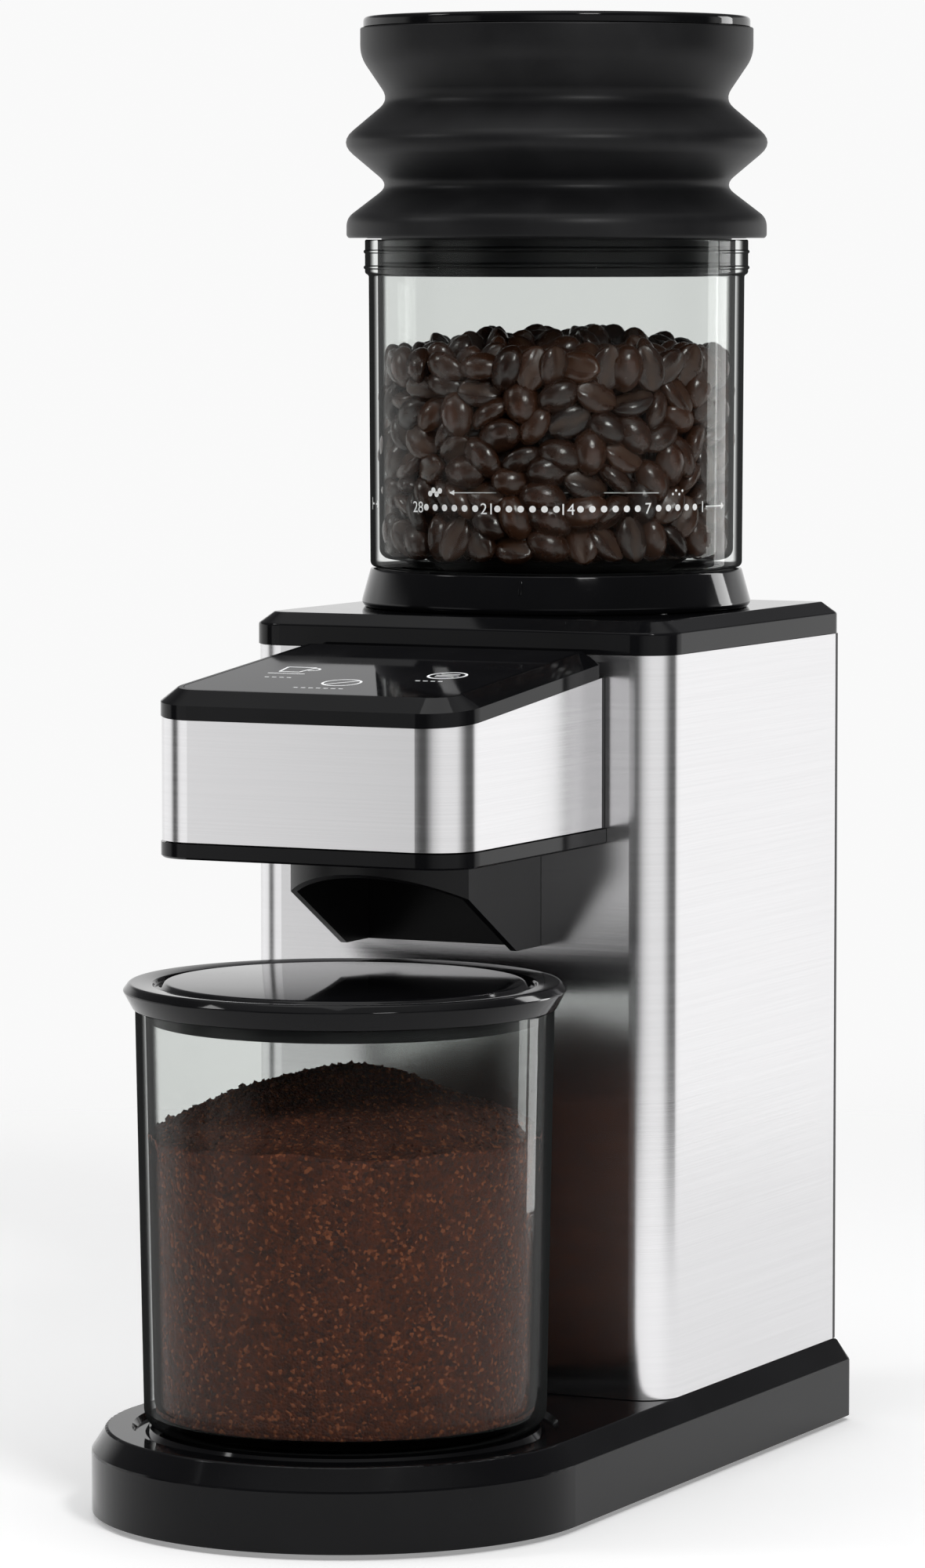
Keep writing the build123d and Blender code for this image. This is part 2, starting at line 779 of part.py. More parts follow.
def motor_screws():
    """Two screws that hold the motor up against the gearbox."""
    return group(
        screw(x, hopper_y, gearbox_deck + gearbox_wall + 0.1, 5.0, head=2.0, shank=1.4) for x in (-12, 12)
    )


def motor_pinion():
    """Steel pinion on the motor shaft."""
    return gear(pinion_teeth, gear_module_fast, fast_z, fast_z + 8.5, -90, 0, hopper_y, motor_shaft_radius)


def idler_gear():
    """Two-step gear: the wheel that the pinion drives and the pinion that drives the output."""
    wheel = gear(
        idler_teeth, gear_module_fast, fast_z + 0.5, fast_z + 8, 90 + 180 / idler_teeth, 0, idler_y, 0
    )
    small = gear(idler_pinion_teeth, gear_module_slow, fast_z + 8, slow_z + 11, 90, 0, idler_y, 0)
    solid = wheel + small
    for x, y in around(6, 15, 0, idler_y):
        solid -= rod(4.4, fast_z, fast_z + 9, x, y)
    return solid - rod(3.0 + running, fast_z - 1, slow_z + 20, 0, idler_y)


def idler_pin():
    """Fixed steel pin that the two-step gear runs on."""
    return rod(3.0, gearbox_deck + fit, gearbox_top + gearbox_wall - 0.5, 0, idler_y)


def output_gear():
    """Output gear, keyed to the burr shaft by two flats."""
    solid = gear(
        output_teeth,
        gear_module_slow,
        slow_z + 0.5,
        slow_z + 10.5,
        -90 + 180 / output_teeth,
        0,
        hopper_y,
        0,
    )
    solid -= ring(18, 10, slow_z + 7.5, slow_z + 12, 0, hopper_y)
    keyed = rod(shaft_radius, slow_z - 1, slow_z + 12, 0, hopper_y)
    keyed &= box(-shaft_radius + 1, shaft_radius - 1, hopper_y - 9, hopper_y + 9, slow_z - 1, slow_z + 12)
    return solid - keyed


def burr_shaft():
    """Shaft from the output gear up to the burr nut, with flats at both ends."""
    top = burr_top_z + 7
    solid = rod(shaft_radius, slow_z + 0.6, top, 0, hopper_y)
    flat = shaft_radius - 1 - fit / 4
    for x0, x1 in ((flat, 9), (-9, -flat)):
        solid -= box(x0, x1, hopper_y - 9, hopper_y + 9, slow_z, slow_z + 10.6)
        solid -= box(x0, x1, hopper_y - 9, hopper_y + 9, hub_top + 3, top + 1)
    return solid - ring(9, 3.5, burr_top_z, top + 1, 0, hopper_y)


def stadium(radius, z0, z1):
    """Rounded block over the output and idler axes."""
    return (
        rod(radius, z0, z1, 0, hopper_y)
        + rod(radius, z0, z1, 0, idler_y)
        + box(-radius, radius, idler_y, hopper_y, z0, z1)
    )


gearbox_screw_places = [
    (-24.4, idler_y - 6), (24.4, idler_y - 6), (-24.4, hopper_y + 6), (24.4, hopper_y + 6)
]


def gearbox_case():
    """Lower half of the gearbox."""
    solid = (
        stadium(gearbox_radius, gearbox_deck, gearbox_top)
        - stadium(gearbox_radius - gearbox_wall, gearbox_deck + gearbox_wall, gearbox_top + 1)
    )
    solid += rod(6, gearbox_deck, fast_z, 0, idler_y)
    solid -= rod(3.0 + running, gearbox_deck + fit / 2, gearbox_top, 0, idler_y)
    solid -= rod(7 + fit, gearbox_deck - 1, gearbox_deck + gearbox_wall + 1, 0, hopper_y)
    solid -= [rod(1.5, gearbox_deck - 1, gearbox_deck + 9, x, hopper_y) for x in (-12, 12)]
    return solid


def gearbox_cover():
    """Upper half of the gearbox, with the long hub that carries the burr shaft."""
    z = gearbox_top + fit / 2
    solid = stadium(gearbox_radius, z, z + gearbox_wall)
    solid += rod(13, z, hub_top, 0, hopper_y)
    solid -= (
        rod(8 + running, z - 1, z + 6, 0, hopper_y)
        + rod(8 + running, hub_top - 6, hub_top + 1, 0, hopper_y)
    )
    solid -= rod(6, z - 1, hub_top + 1, 0, hopper_y)
    solid -= rod(3.0 + running, z - 1, z + gearbox_wall + 1, 0, idler_y)
    for x, y in ((-16, idler_y - 14), (16, idler_y - 14), (-18, hopper_y + 14), (18, hopper_y + 14)):
        solid -= rod(1.5, z - 1, z + 9, x, y)
    return solid


def gearbox_screws():
    """Four screws that close the gearbox."""
    z = gearbox_top + fit / 2 + gearbox_wall + 0.05
    places = ((-16, idler_y - 14), (16, idler_y - 14), (-18, hopper_y + 14), (18, hopper_y + 14))
    return group(screw(x, y, z, 6, head=2.6, shank=1.4) for x, y in places)


def shaft_bush(z0, z1):
    """Bronze bush of the burr shaft."""
    return ring(8, shaft_radius + running, z0, z1, 0, hopper_y)


# ---------------------------------------------------------------- grinding set
def grind_chamber():
    """Round housing of the burrs, with its mouth towards the chute."""
    low = chamber_radius
    top = adjuster_radius + chamber_wall + 0.6
    step = adjuster_z - 1.0
    solid = rod(low, chamber_z, chamber_top, 0, hopper_y) + rod(top, step - 2.5, chamber_top, 0, hopper_y)
    solid -= rod(low - chamber_wall, chamber_z + 2.5, chamber_top + 1, 0, hopper_y)
    solid -= rod(top - chamber_wall, step, chamber_top + 1, 0, hopper_y)
    solid -= rod(14, chamber_z - 1, chamber_z + 9, 0, hopper_y)
    solid -= box(
        -duct_half + 3.2,
        duct_half - 3.2,
        hopper_y - low - 9,
        hopper_y - 14,
        chamber_z + 2.5,
        chamber_z + 9.1,
    )
    return solid


def sweeper():
    """Paddle wheel that pushes grounds out of the chamber."""
    z = chamber_z + 3.2
    solid = rod(burr_base_radius - 1, z, burr_z - fit, 0, hopper_y)
    for turn in range(3):
        arm = box(12, carrier_radius - 1.5, -2, 2, z, burr_z - 2.2)
        solid += Pos(0, hopper_y, 0) * Rot(0, 0, 120 * turn) * arm
    return solid - flatted_bore(z - 1, burr_z + 1)


def flatted_bore(z0, z1):
    """Bore with two flats that fits the burr shaft."""
    hole = rod(shaft_radius + running, z0, z1, 0, hopper_y)
    return hole & box(-shaft_radius + 1, shaft_radius - 1, hopper_y - 9, hopper_y + 9, z0, z1)


def inner_burr():
    """Cone burr with slanted cutting flutes."""
    solid = spun(
        [
            (0, burr_z),
            (burr_base_radius, burr_z),
            (burr_base_radius, burr_z + 4),
            (burr_top_radius, burr_top_z),
            (0, burr_top_z),
        ],
        y=hopper_y,
    )
    flutes = []
    for turn in range(8):
        cut = Pos(burr_base_radius - 1.5, 0, burr_z + 13) * Rot(24, -20, 0) * Box(5.0, 3.4, 26)
        flutes.append(Pos(0, hopper_y, 0) * Rot(0, 0, 45 * turn) * cut)
    for turn in range(24):
        nick = Pos(burr_base_radius + 0.3, 0, burr_z + 2.4) * Rot(24, 0, 45) * Box(1.6, 1.6, 9)
        flutes.append(Pos(0, hopper_y, 0) * Rot(0, 0, 15 * turn) * nick)
    return solid - flutes - flatted_bore(burr_z - 1, burr_top_z + 1)


def outer_burr():
    """Ring burr round the cone."""
    z0, z1 = burr_z + 1.0, burr_top_z - 2
    mouth = burr_base_radius + burr_gap
    solid = spun(
        [
            (mouth, z0),
            (outer_burr_radius, z0),
            (outer_burr_radius, z1),
            (outer_burr_radius - 2.6, z1),
            (mouth, z0 + 4),
        ],
        y=hopper_y,
    )
    nicks = []
    for turn in range(18):
        nick = Pos(mouth + 2.9, 0, (z0 + z1) / 2 + 2) * Rot(-18, 24, 0) * Rot(0, 0, 45) * Box(1.8, 1.8, 30)
        nicks.append(Pos(0, hopper_y, 0) * Rot(0, 0, 20 * turn) * nick)
    return solid - nicks


def burr_carrier():
    """Sliding holder of the ring burr, raised and lowered by the adjusting ring."""
    z0, z1 = burr_z + 1.0, adjuster_z + adjuster_height - 1.5
    solid = ring(carrier_radius, outer_burr_radius + fit / 2, z0, z1, 0, hopper_y)
    lip = burr_top_z - 2 + fit / 2
    solid += ring(carrier_radius - 1, throat_radius + throat_wall + 0.8, lip, lip + 2.4, 0, hopper_y)
    for x, y in around(3, outer_burr_radius - 2.0, 0, hopper_y, 30):
        solid -= rod(1.3, lip - 1, lip + 9, x, y)
    return solid


def burr_screws():
    """Three screws that hold the ring burr in its carrier."""
    z = burr_top_z - 2 + fit / 2 + 2.4 + 0.05
    return group(
        screw(x, y, z, 2.3, head=2.0, shank=1.2)
        for x, y in around(3, outer_burr_radius - 2.0, 0, hopper_y, 30)
    )


def burr_nut():
    """Nut that holds the cone burr and the sweeper on the shaft."""
    z = burr_top_z + fit / 2
    hexagon = Pos(0, hopper_y) * RegularPolygon(7.0, 6)
    solid = prism(hexagon, z, z + 5.0)
    return solid - rod(3.5 + running, z - 1, z + 9, 0, hopper_y)


slots = 3
tongue_radius = 1.5
hopper_base_foot = chamber_top + 0.8


def adjuster_ring():
    """Ring that the hopper turns to move the ring burr up and down."""
    solid = ring(
        adjuster_radius, carrier_radius + fit, adjuster_z, adjuster_z + adjuster_height, 0, hopper_y
    )
    for x, y in around(slots, (adjuster_radius + carrier_radius) / 2, 0, hopper_y, 90):
        solid -= rod(tongue_radius + slide_gap, adjuster_z + 2, adjuster_z + adjuster_height + 1, x, y)
    return solid


# ---------------------------------------------------------------- hopper
funnel_foot = adjuster_z + adjuster_height - 1.2


def hopper_glass():
    """Clear hopper: wall, rim with two fine ribs, funnel and throat in one moulding."""
    foot, top = glass_foot, glass_top
    low = hopper_radius - hopper_draft
    shoulder = top - hopper_rim_height
    rim, wall = hopper_rim_radius, hopper_wall
    outside = [
        (throat_radius + throat_wall, funnel_foot),
        (throat_radius + throat_wall, foot - funnel_drop),
        (collar_bore - 3.0, foot - 2.6),
        (collar_bore - 3.0, foot),
        (low - 0.8, foot),
        (low, foot + 0.8),
    ]
    outside += [(hopper_radius, shoulder), (rim, shoulder + 0.6)]
    for z in (shoulder + 1.6, shoulder + 5.8):
        outside += [(rim, z), (rim + 0.35, z + 0.25), (rim + 0.35, z + 0.75), (rim, z + 1.0)]
    outside += [(rim, top - 0.4), (rim - 0.4, top)]
    inside = [
        (hopper_radius - wall, top),
        (hopper_radius - wall, shoulder),
        (low - wall, foot + hopper_floor + 1.5),
        (low - wall - 1.5, foot + hopper_floor),
    ]
    inside += [
        (collar_bore - 4.6, foot + hopper_floor),
        (throat_radius, foot - funnel_drop + 1.5),
        (throat_radius, funnel_foot),
    ]
    return spun(outside + inside, y=hopper_y)


def hopper_base():
    """Black ring under the clear hopper, with the tongues that turn the adjusting ring."""
    low, foot = hopper_base_foot, glass_foot
    r_out, ledge = collar_bore - slide_gap, collar_bore - 3.0 + fit
    rise = (funnel_drop - 2.6) / (collar_bore - 3.0 - throat_radius - throat_wall)
    inner = throat_radius + throat_wall + 8.0
    solid = spun(
        [
            (inner, low),
            (r_out - 6.0, low),
            (r_out - 6.0, foot - 7.0),
            (r_out - 2.5, foot - 7.0),
            (r_out - 2.5, low),
            (r_out, low),
            (r_out, foot - fit),
            (ledge, foot - fit),
            (ledge, foot - 2.6 - 0.6),
            (inner, foot - 2.6 - 0.6 - rise * (ledge - inner)),
        ],
        y=hopper_y,
    )
    r = (adjuster_radius + carrier_radius) / 2
    for x, y in around(slots, r, 0, hopper_y, 90):
        solid += rod(tongue_radius, adjuster_z + 2.6, low + 3, x, y)
    return solid


def lid_plug():
    """Stopper that carries the bellows, with the air holes in its floor."""
    z0, z1 = lid_foot - plug_depth, lid_foot + 2.2
    skirt = hopper_radius - hopper_wall - 1.0
    flange = hopper_radius + 0.5
    solid = spun(
        [
            (0, z0 + 1.0),
            (skirt - 1, z0 + 1.0),
            (skirt - 1, z0),
            (skirt, z0),
            (skirt, lid_foot),
            (flange, lid_foot),
            (flange, z1),
            (skirt - plug_wall, z1),
            (skirt - plug_wall, z0 + 3.0),
            (0, z0 + 3.0),
        ],
        y=hopper_y,
    )
    for z in seal_heights:
        solid -= ring(skirt + 1, skirt - 1.0, z - 0.1, z + 1.7, 0, hopper_y)
    for x, y in list(around(8, 26, 0, hopper_y)) + list(around(4, 12, 0, hopper_y)):
        solid -= rod(2.6, z0, z0 + 9, x, y)
    return solid


seal_heights = [lid_foot - 7.8, lid_foot - 3.6]


def lid_seals():
    """Two soft rings that grip the inside of the hopper."""
    skirt = hopper_radius - hopper_wall - 1.0
    rings = []
    for z in seal_heights:
        rings.append(
            spun(
                [
                    (skirt - 0.9, z),
                    (skirt, z),
                    (skirt + 0.85, z + 0.5),
                    (skirt + 0.85, z + 1.1),
                    (skirt, z + 1.6),
                    (skirt - 0.9, z + 1.6),
                ],
                y=hopper_y,
            ),
        )
    return group(rings)


bellows_foot = lid_foot + 0.1
bellows_ring_top = bellows_foot + bellows_ring_height
valley_low = bellows_ring_top + 8.7
peak_z = valley_low + bellows_pitch / 2
valley_high = valley_low + bellows_pitch
band_z = valley_high + 11.4
bellows_top = band_z + bellows_band_height


def bellows():
    """Silicone bellows: foot ring, two folds and the upper band."""
    t = bellows_wall
    edge = 1.6
    outside = [
        (bellows_ring_radius - 0.6, bellows_foot),
        (bellows_ring_radius, bellows_foot + 0.6),
        (bellows_ring_radius, bellows_ring_top - edge),
        (bellows_ring_radius - edge, bellows_ring_top),
        (bellows_valley_radius, valley_low - 0.9),
        (bellows_valley_radius, valley_low + 0.9),
        (bellows_peak_radius - 0.8, peak_z - 2.0),
        (bellows_peak_radius, peak_z),
        (bellows_peak_radius - 0.8, peak_z + 2.0),
        (bellows_valley_radius, valley_high - 0.9),
        (bellows_valley_radius, valley_high + 0.9),
        (bellows_band_radius, band_z),
        (bellows_band_radius, bellows_top),
    ]
    plug_edge = hopper_radius + 0.5 + fit
    inside = [
        (bellows_band_radius - t - 1.5, bellows_top),
        (bellows_band_radius - t - 1.5, band_z + 1.5),
        (bellows_valley_radius - t, valley_high + 0.5),
        (bellows_valley_radius - t, valley_high - 1.5),
        (bellows_peak_radius - 2 * t, peak_z),
        (bellows_valley_radius - t, valley_low + 1.5),
        (bellows_valley_radius - t, bellows_foot + 2.1 + fit),
        (plug_edge, bellows_foot + 2.1 + fit),
        (plug_edge, bellows_foot),
    ]
    return spun(outside + inside, y=hopper_y)


def bellows_cap():
    """Glossy disc that is pressed to pump the bellows."""
    z0, z1 = bellows_top + fit, bellows_top + fit + lid_cap_height
    solid = rod(lid_cap_radius, z0, z1, 0, hopper_y)
    solid = fillet(solid.edges().group_by(Axis.Z)[-1], 1.1)
    spigot = ring(
        bellows_band_radius - bellows_wall - 1.5 - fit,
        bellows_band_radius - bellows_wall - 4.0,
        z0 - 4,
        z0 + 1,
        0,
        hopper_y,
    )
    return solid + spigot


# ---------------------------------------------------------------- interlock and power
switch_turn = 39.3
switch_radius = adjuster_radius + chamber_wall + 2.2
switch_x = -switch_radius * sin(radians(switch_turn))
switch_y = hopper_y + switch_radius * cos(radians(switch_turn))
switch_top = adjuster_z - 5.0


def interlock_switch():
    """Safety switch that senses the hopper."""
    body = Pos(switch_x, switch_y, switch_top - 13) * Rot(0, 0, switch_turn) * Box(12, 6.0, 13, align=UP)
    return body - rod(1.1 + running, switch_top - 9, switch_top + 1, switch_x, switch_y)


def switch_plunger():
    """Sprung pin of the safety switch, held down by the hopper."""
    return rod(1.1, switch_top - 6, hopper_base_foot - fit, switch_x, switch_y)


def power_board():
    """Mains board with its capacitor and transformer, low in the body."""
    z = deck_z + 6
    board = box(-48, 48, body_front + 12, body_front + 13.6, z, z + 62)
    parts = box(-40, -16, body_front + 13.6, body_front + 30, z + 6, z + 30)
    can = Pos(10, body_front + 13.6, z + 20) * Rot(-90, 0, 0) * Cylinder(7, 16, align=UP)
    return board + parts + can


# ---------------------------------------------------------------- jar
def jar():
    """Clear jar for the ground coffee."""
    z0, z1 = jar_foot, jar_top
    low = jar_radius - jar_draft
    points = [
        (0, z0 + 0.6),
        (low - 8, z0 + 0.6),
        (low - 7.4, z0),
        (low - 3.0, z0),
        (low - 0.9, z0 + 0.9),
        (low, z0 + 3.0),
        (jar_radius, z1 - 0.4),
        (jar_radius - 0.4, z1),
        (jar_radius - jar_wall, z1),
        (low - jar_wall, z0 + jar_floor + 3.0),
        (low - jar_wall - 3.0, z0 + jar_floor),
        (0, z0 + jar_floor),
    ]
    return spun(points, y=jar_y)


def jar_lid():
    """Glossy lid with its sharp overhanging rim and grooved top."""
    z0 = jar_top + fit
    inner = jar_radius - jar_wall
    top = z0 + 6.6
    points = [
        (0, z0 + 3.8),
        (inner - 4.0, z0 + 3.8),
        (inner - 4.0, z0 - jar_lid_skirt),
        (inner - 1.6, z0 - jar_lid_skirt),
        (inner - 1.6, z0),
        (jar_radius + 0.6, z0),
        (jar_lid_radius, z0 + 4.4),
        (jar_lid_radius - 0.1, z0 + 5.0),
        (jar_lid_radius - 1.6, top),
        (jar_lid_groove, top - 0.5),
        (jar_lid_groove - 0.5, top - 1.5),
        (jar_lid_disc + 1.2, top - 1.5),
        (jar_lid_disc, top - 0.2),
        (jar_lid_disc - 1.0, top),
        (0, top),
    ]
    return spun(points, y=jar_y)


def jar_seal():
    """Soft ring round the lid's skirt."""
    inner = jar_radius - jar_wall
    z = jar_top + fit - jar_lid_skirt
    points = [
        (inner - 1.6, z + 0.3),
        (inner - 0.5, z + 0.3),
        (inner - 0.35, z + 1.8),
        (inner - 0.5, z + 3.3),
        (inner - 1.6, z + 3.3),
    ]
    return spun(points, y=jar_y)


# ---------------------------------------------------------------- write every piece
pieces = {
    "base_tray": base_tray,
    "base_plate": base_plate,
    "rubber_feet": rubber_feet,
    "base_screws": base_screws,
    "body_wrap": body_wrap,
    "rear_cover": rear_cover,
    "cord_gland": cord_gland,
    "rear_screws": rear_screws,
    "inner_frame": inner_frame,
    "top_cap": top_cap,
    "hopper_collar": hopper_collar,
    "collar_screws": collar_screws,
    "head_frame": head_frame,
    "head_band": head_band,
    "head_top": head_top,
    "touch_panel": touch_panel,
    "head_floor": head_floor,
    "head_screws": head_screws,
    "control_board": control_board,
    "chute": chute,
    "grounds_duct": grounds_duct,
    "motor_can": motor_can,
    "motor_magnets": motor_magnets,
    "motor_end_bell": motor_end_bell,
    "motor_bush": motor_bush,
    "rotor_core": rotor_core,
    "commutator": commutator,
    "carbon_brushes": carbon_brushes,
    "motor_shaft": motor_shaft,
    "motor_screws": motor_screws,
    "motor_pinion": motor_pinion,
    "idler_gear": idler_gear,
    "idler_pin": idler_pin,
    "output_gear": output_gear,
    "burr_shaft": burr_shaft,
    "gearbox_case": gearbox_case,
    "gearbox_cover": gearbox_cover,
    "gearbox_screws": gearbox_screws,
    "shaft_bush_lower": lambda: shaft_bush(gearbox_top + fit / 2, gearbox_top + fit / 2 + 5.8),
    "shaft_bush_upper": lambda: shaft_bush(hub_top - 5.8, hub_top),
    "grind_chamber": grind_chamber,
    "sweeper": sweeper,
    "inner_burr": inner_burr,
    "burr_nut": burr_nut,
    "outer_burr": outer_burr,
    "burr_carrier": burr_carrier,
    "burr_screws": burr_screws,
    "adjuster_ring": adjuster_ring,
    "interlock_switch": interlock_switch,
    "switch_plunger": switch_plunger,
    "power_board": power_board,
    "hopper_glass": hopper_glass,
    "hopper_base": hopper_base,
    "lid_plug": lid_plug,
    "lid_seals": lid_seals,
    "bellows": bellows,
    "bellows_cap": bellows_cap,
    "jar": jar,
    "jar_lid": jar_lid,
    "jar_seal": jar_seal,
}

os.makedirs("parts", exist_ok=True)
for node, make in pieces.items():
    export_step(make(), f"parts/{node}.step")
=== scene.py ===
"""Looks of a burr coffee grinder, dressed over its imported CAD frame.

The grinder stands on a wide gloss base. A steel-clad body carries a clear hopper of beans with a
bellows lid, a control head with a touch panel reaches forward over the jar, and the jar holds the
ground coffee. Each sub-assembly is a class that builds its own meshes and dresses them.
"""

import json
import logging
from dataclasses import dataclass, field
from enum import Enum
from math import cos, pi, radians, sin, tan
from typing import Any, Sequence

import bpy
import numpy as np
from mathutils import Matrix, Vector

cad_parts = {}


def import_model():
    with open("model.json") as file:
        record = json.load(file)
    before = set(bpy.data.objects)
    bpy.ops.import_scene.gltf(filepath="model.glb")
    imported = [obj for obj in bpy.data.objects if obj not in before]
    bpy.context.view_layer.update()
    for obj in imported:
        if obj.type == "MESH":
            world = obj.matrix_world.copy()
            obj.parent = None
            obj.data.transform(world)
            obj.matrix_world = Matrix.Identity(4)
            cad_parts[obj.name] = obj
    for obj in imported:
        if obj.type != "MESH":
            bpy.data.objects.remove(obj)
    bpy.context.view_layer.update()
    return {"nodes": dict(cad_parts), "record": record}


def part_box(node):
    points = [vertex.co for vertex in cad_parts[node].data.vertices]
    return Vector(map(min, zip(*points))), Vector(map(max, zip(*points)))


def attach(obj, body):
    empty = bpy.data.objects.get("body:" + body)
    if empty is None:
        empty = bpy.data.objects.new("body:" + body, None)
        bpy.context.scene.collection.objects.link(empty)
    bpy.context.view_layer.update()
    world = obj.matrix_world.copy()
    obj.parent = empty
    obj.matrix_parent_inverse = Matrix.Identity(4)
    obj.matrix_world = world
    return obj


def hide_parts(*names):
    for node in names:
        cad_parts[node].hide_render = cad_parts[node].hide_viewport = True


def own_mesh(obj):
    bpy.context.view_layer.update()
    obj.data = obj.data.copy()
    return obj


log = logging.getLogger("grinder")

Point = tuple[float, float]
Colour = tuple[float, float, float]

MM = 0.001
SEGMENTS = 192
FINE_SEGMENTS = 256
TINY = 1e-6
CREASE = 32.0
NO_CREASE = 180.0
DIGIT_SHARE = 0.7
ARC_STEP = 12
DISC_SIDES = 20

# How much of an edge a rounded corner may take, where its other end is rounded and where it isn't.
SHARED_EDGE = 0.49
OWN_EDGE = 0.95

# The colour sockets of a Mix node share their names with its other sockets, so they go by number.
MIX_COLOUR_A = 6
MIX_COLOUR_B = 7
MIX_COLOUR_RESULT = 2


# ---------------------------------------------------------------- shader trees
class Signal:
    """A shader socket that takes part in expressions, each of which adds its Math node."""

    def __init__(self, shader: "Shader", socket: bpy.types.NodeSocket) -> None:
        """Keeps the tree and the socket that carries the value."""
        self.shader = shader
        self.socket = socket

    def _with(self, operation: str, *values: "Signal | float", clamp: bool = False) -> "Signal":
        """Adds one Math node.

        Args:
            operation: The Math node's operation.
            values: Its operands in order.
            clamp: Whether the result is held between 0 and 1.

        Returns:
            The node's value.
        """
        settings = {"operation": operation, "use_clamp": clamp}
        return self.shader.add("ShaderNodeMath", settings, dict(enumerate(values)))

    def __add__(self, other: "Signal | float") -> "Signal":
        """Sum."""
        return self._with("ADD", self, other)

    def __radd__(self, other: "Signal | float") -> "Signal":
        """Sum with a plain number on the left."""
        return self._with("ADD", other, self)

    def __sub__(self, other: "Signal | float") -> "Signal":
        """Difference."""
        return self._with("SUBTRACT", self, other)

    def __rsub__(self, other: "Signal | float") -> "Signal":
        """Difference from a plain number."""
        return self._with("SUBTRACT", other, self)

    def __mul__(self, other: "Signal | float") -> "Signal":
        """Product."""
        return self._with("MULTIPLY", self, other)

    def __rmul__(self, other: "Signal | float") -> "Signal":
        """Product with a plain number on the left."""
        return self._with("MULTIPLY", other, self)

    def __truediv__(self, other: "Signal | float") -> "Signal":
        """Quotient."""
        return self._with("DIVIDE", self, other)

    def __pow__(self, other: "Signal | float") -> "Signal":
        """Power."""
        return self._with("POWER", self, other)

    def clamped(self) -> "Signal":
        """The value held between 0 and 1."""
        return self._with("ADD", self, 0.0, clamp=True)

    def atan2(self, other: "Signal") -> "Signal":
        """Angle of the vector whose rise is this value and whose run is the other one."""
        return self._with("ARCTAN2", self, other)

    def between(self, low: float, high: float) -> "Signal":
        """Smooth step of the value.

        Args:
            low: Value at which the step leaves 0.
            high: Value at which it reaches 1.

        Returns:
            The step, from 0 to 1.
        """
        return self.shader.add(
            "ShaderNodeMapRange",
            {"interpolation_type": "SMOOTHSTEP"},
            {"Value": self, "From Min": low, "From Max": high},
            "Result",
        )


class Shader:
    """A node tree under construction, of a material or of the world."""

    def __init__(self, tree: bpy.types.NodeTree) -> None:
        """Empties the tree and starts it again."""
        self.tree = tree
        self.tree.nodes.clear()

    def add(
        self,
        kind: str,
        settings: dict[str, Any] | None = None,
        sockets: dict[str | int, Any] | None = None,
        output: str | int = 0,
    ) -> Signal:
        """Adds a node.

        Args:
            kind: The node's type.
            settings: Its own settings, set before its sockets; "stops" holds a ramp's positions
                and colours.
            sockets: Values or signals of its inputs, by name or index.
            output: Name or index of the output that is wanted.

        Returns:
            The wanted output.
        """
        node = self.tree.nodes.new(kind)
        for name, value in (settings or {}).items():
            if name == "stops":
                self._stops(node.color_ramp, value)
            else:
                setattr(node, name, value)
        for name, value in (sockets or {}).items():
            if isinstance(value, Signal):
                self.tree.links.new(value.socket, node.inputs[name])
            else:
                node.inputs[name].default_value = value
        return Signal(self, node.outputs[output]) if node.outputs else Signal(self, None)

    @staticmethod
    def _stops(ramp: bpy.types.ColorRamp, stops: Sequence[tuple[float, Colour]]) -> None:
        """Gives a ramp its stops.

        Args:
            ramp: The ramp.
            stops: Position and colour of each stop, in rising order.
        """
        while len(ramp.elements) > 1:
            ramp.elements.remove(ramp.elements[-1])
        for index, (position, colour) in enumerate(stops):
            element = ramp.elements[0] if index == 0 else ramp.elements.new(position)
            element.position = position
            element.color = (*colour, 1.0)

    def place(self, scale: Colour = (1.0, 1.0, 1.0)) -> Signal:
        """Object coordinates, stretched by scale."""
        where = self.add("ShaderNodeTexCoord", output="Object")
        return self.add("ShaderNodeMapping", {}, {"Vector": where, "Scale": scale}, "Vector")

    def noise(self, scale: float, detail: float = 2.0, stretch: Colour = (1.0, 1.0, 1.0)) -> Signal:
        """Noise of a given scale per metre, from 0 to 1 around 0.5."""
        sockets = {"Vector": self.place(stretch), "Scale": scale, "Detail": detail}
        return self.add("ShaderNodeTexNoise", {}, sockets, "Fac")

    def grains(self, scale: float, output: str = "Distance") -> Signal:
        """Cells of a given number per metre: the distance from each cell's middle, or its colour."""
        return self.add("ShaderNodeTexVoronoi", {}, {"Vector": self.place(), "Scale": scale}, output)

    def blend(self, factor: "Signal | float", low: "Colour | Signal", high: "Colour | Signal") -> Signal:
        """Mix of two colours.

        Args:
            factor: Share of the second colour.
            low: Colour at a factor of 0.
            high: Colour at a factor of 1.

        Returns:
            The mixed colour.
        """
        first, second = [(*c, 1.0) if isinstance(c, tuple) else c for c in (low, high)]
        sockets = {"Factor": factor, MIX_COLOUR_A: first, MIX_COLOUR_B: second}
        return self.add("ShaderNodeMix", {"data_type": "RGBA"}, sockets, MIX_COLOUR_RESULT)

    def bump(self, height: Signal, distance: float, strength: float = 1.0) -> Signal:
        """Normal of a surface raised by height times distance."""
        sockets = {"Height": height, "Distance": distance, "Strength": strength}
        return self.add("ShaderNodeBump", {}, sockets, "Normal")

    def principled(self, **values: Any) -> Signal:
        """A Principled shader; underscores in the names stand for spaces."""
        sockets = {name.replace("_", " "): value for name, value in values.items()}
        return self.add("ShaderNodeBsdfPrincipled", {}, sockets, "BSDF")

    def finish(self, surface: Signal) -> None:
        """Ends the tree of a material in its output."""
        self.add("ShaderNodeOutputMaterial", {}, {"Surface": surface})


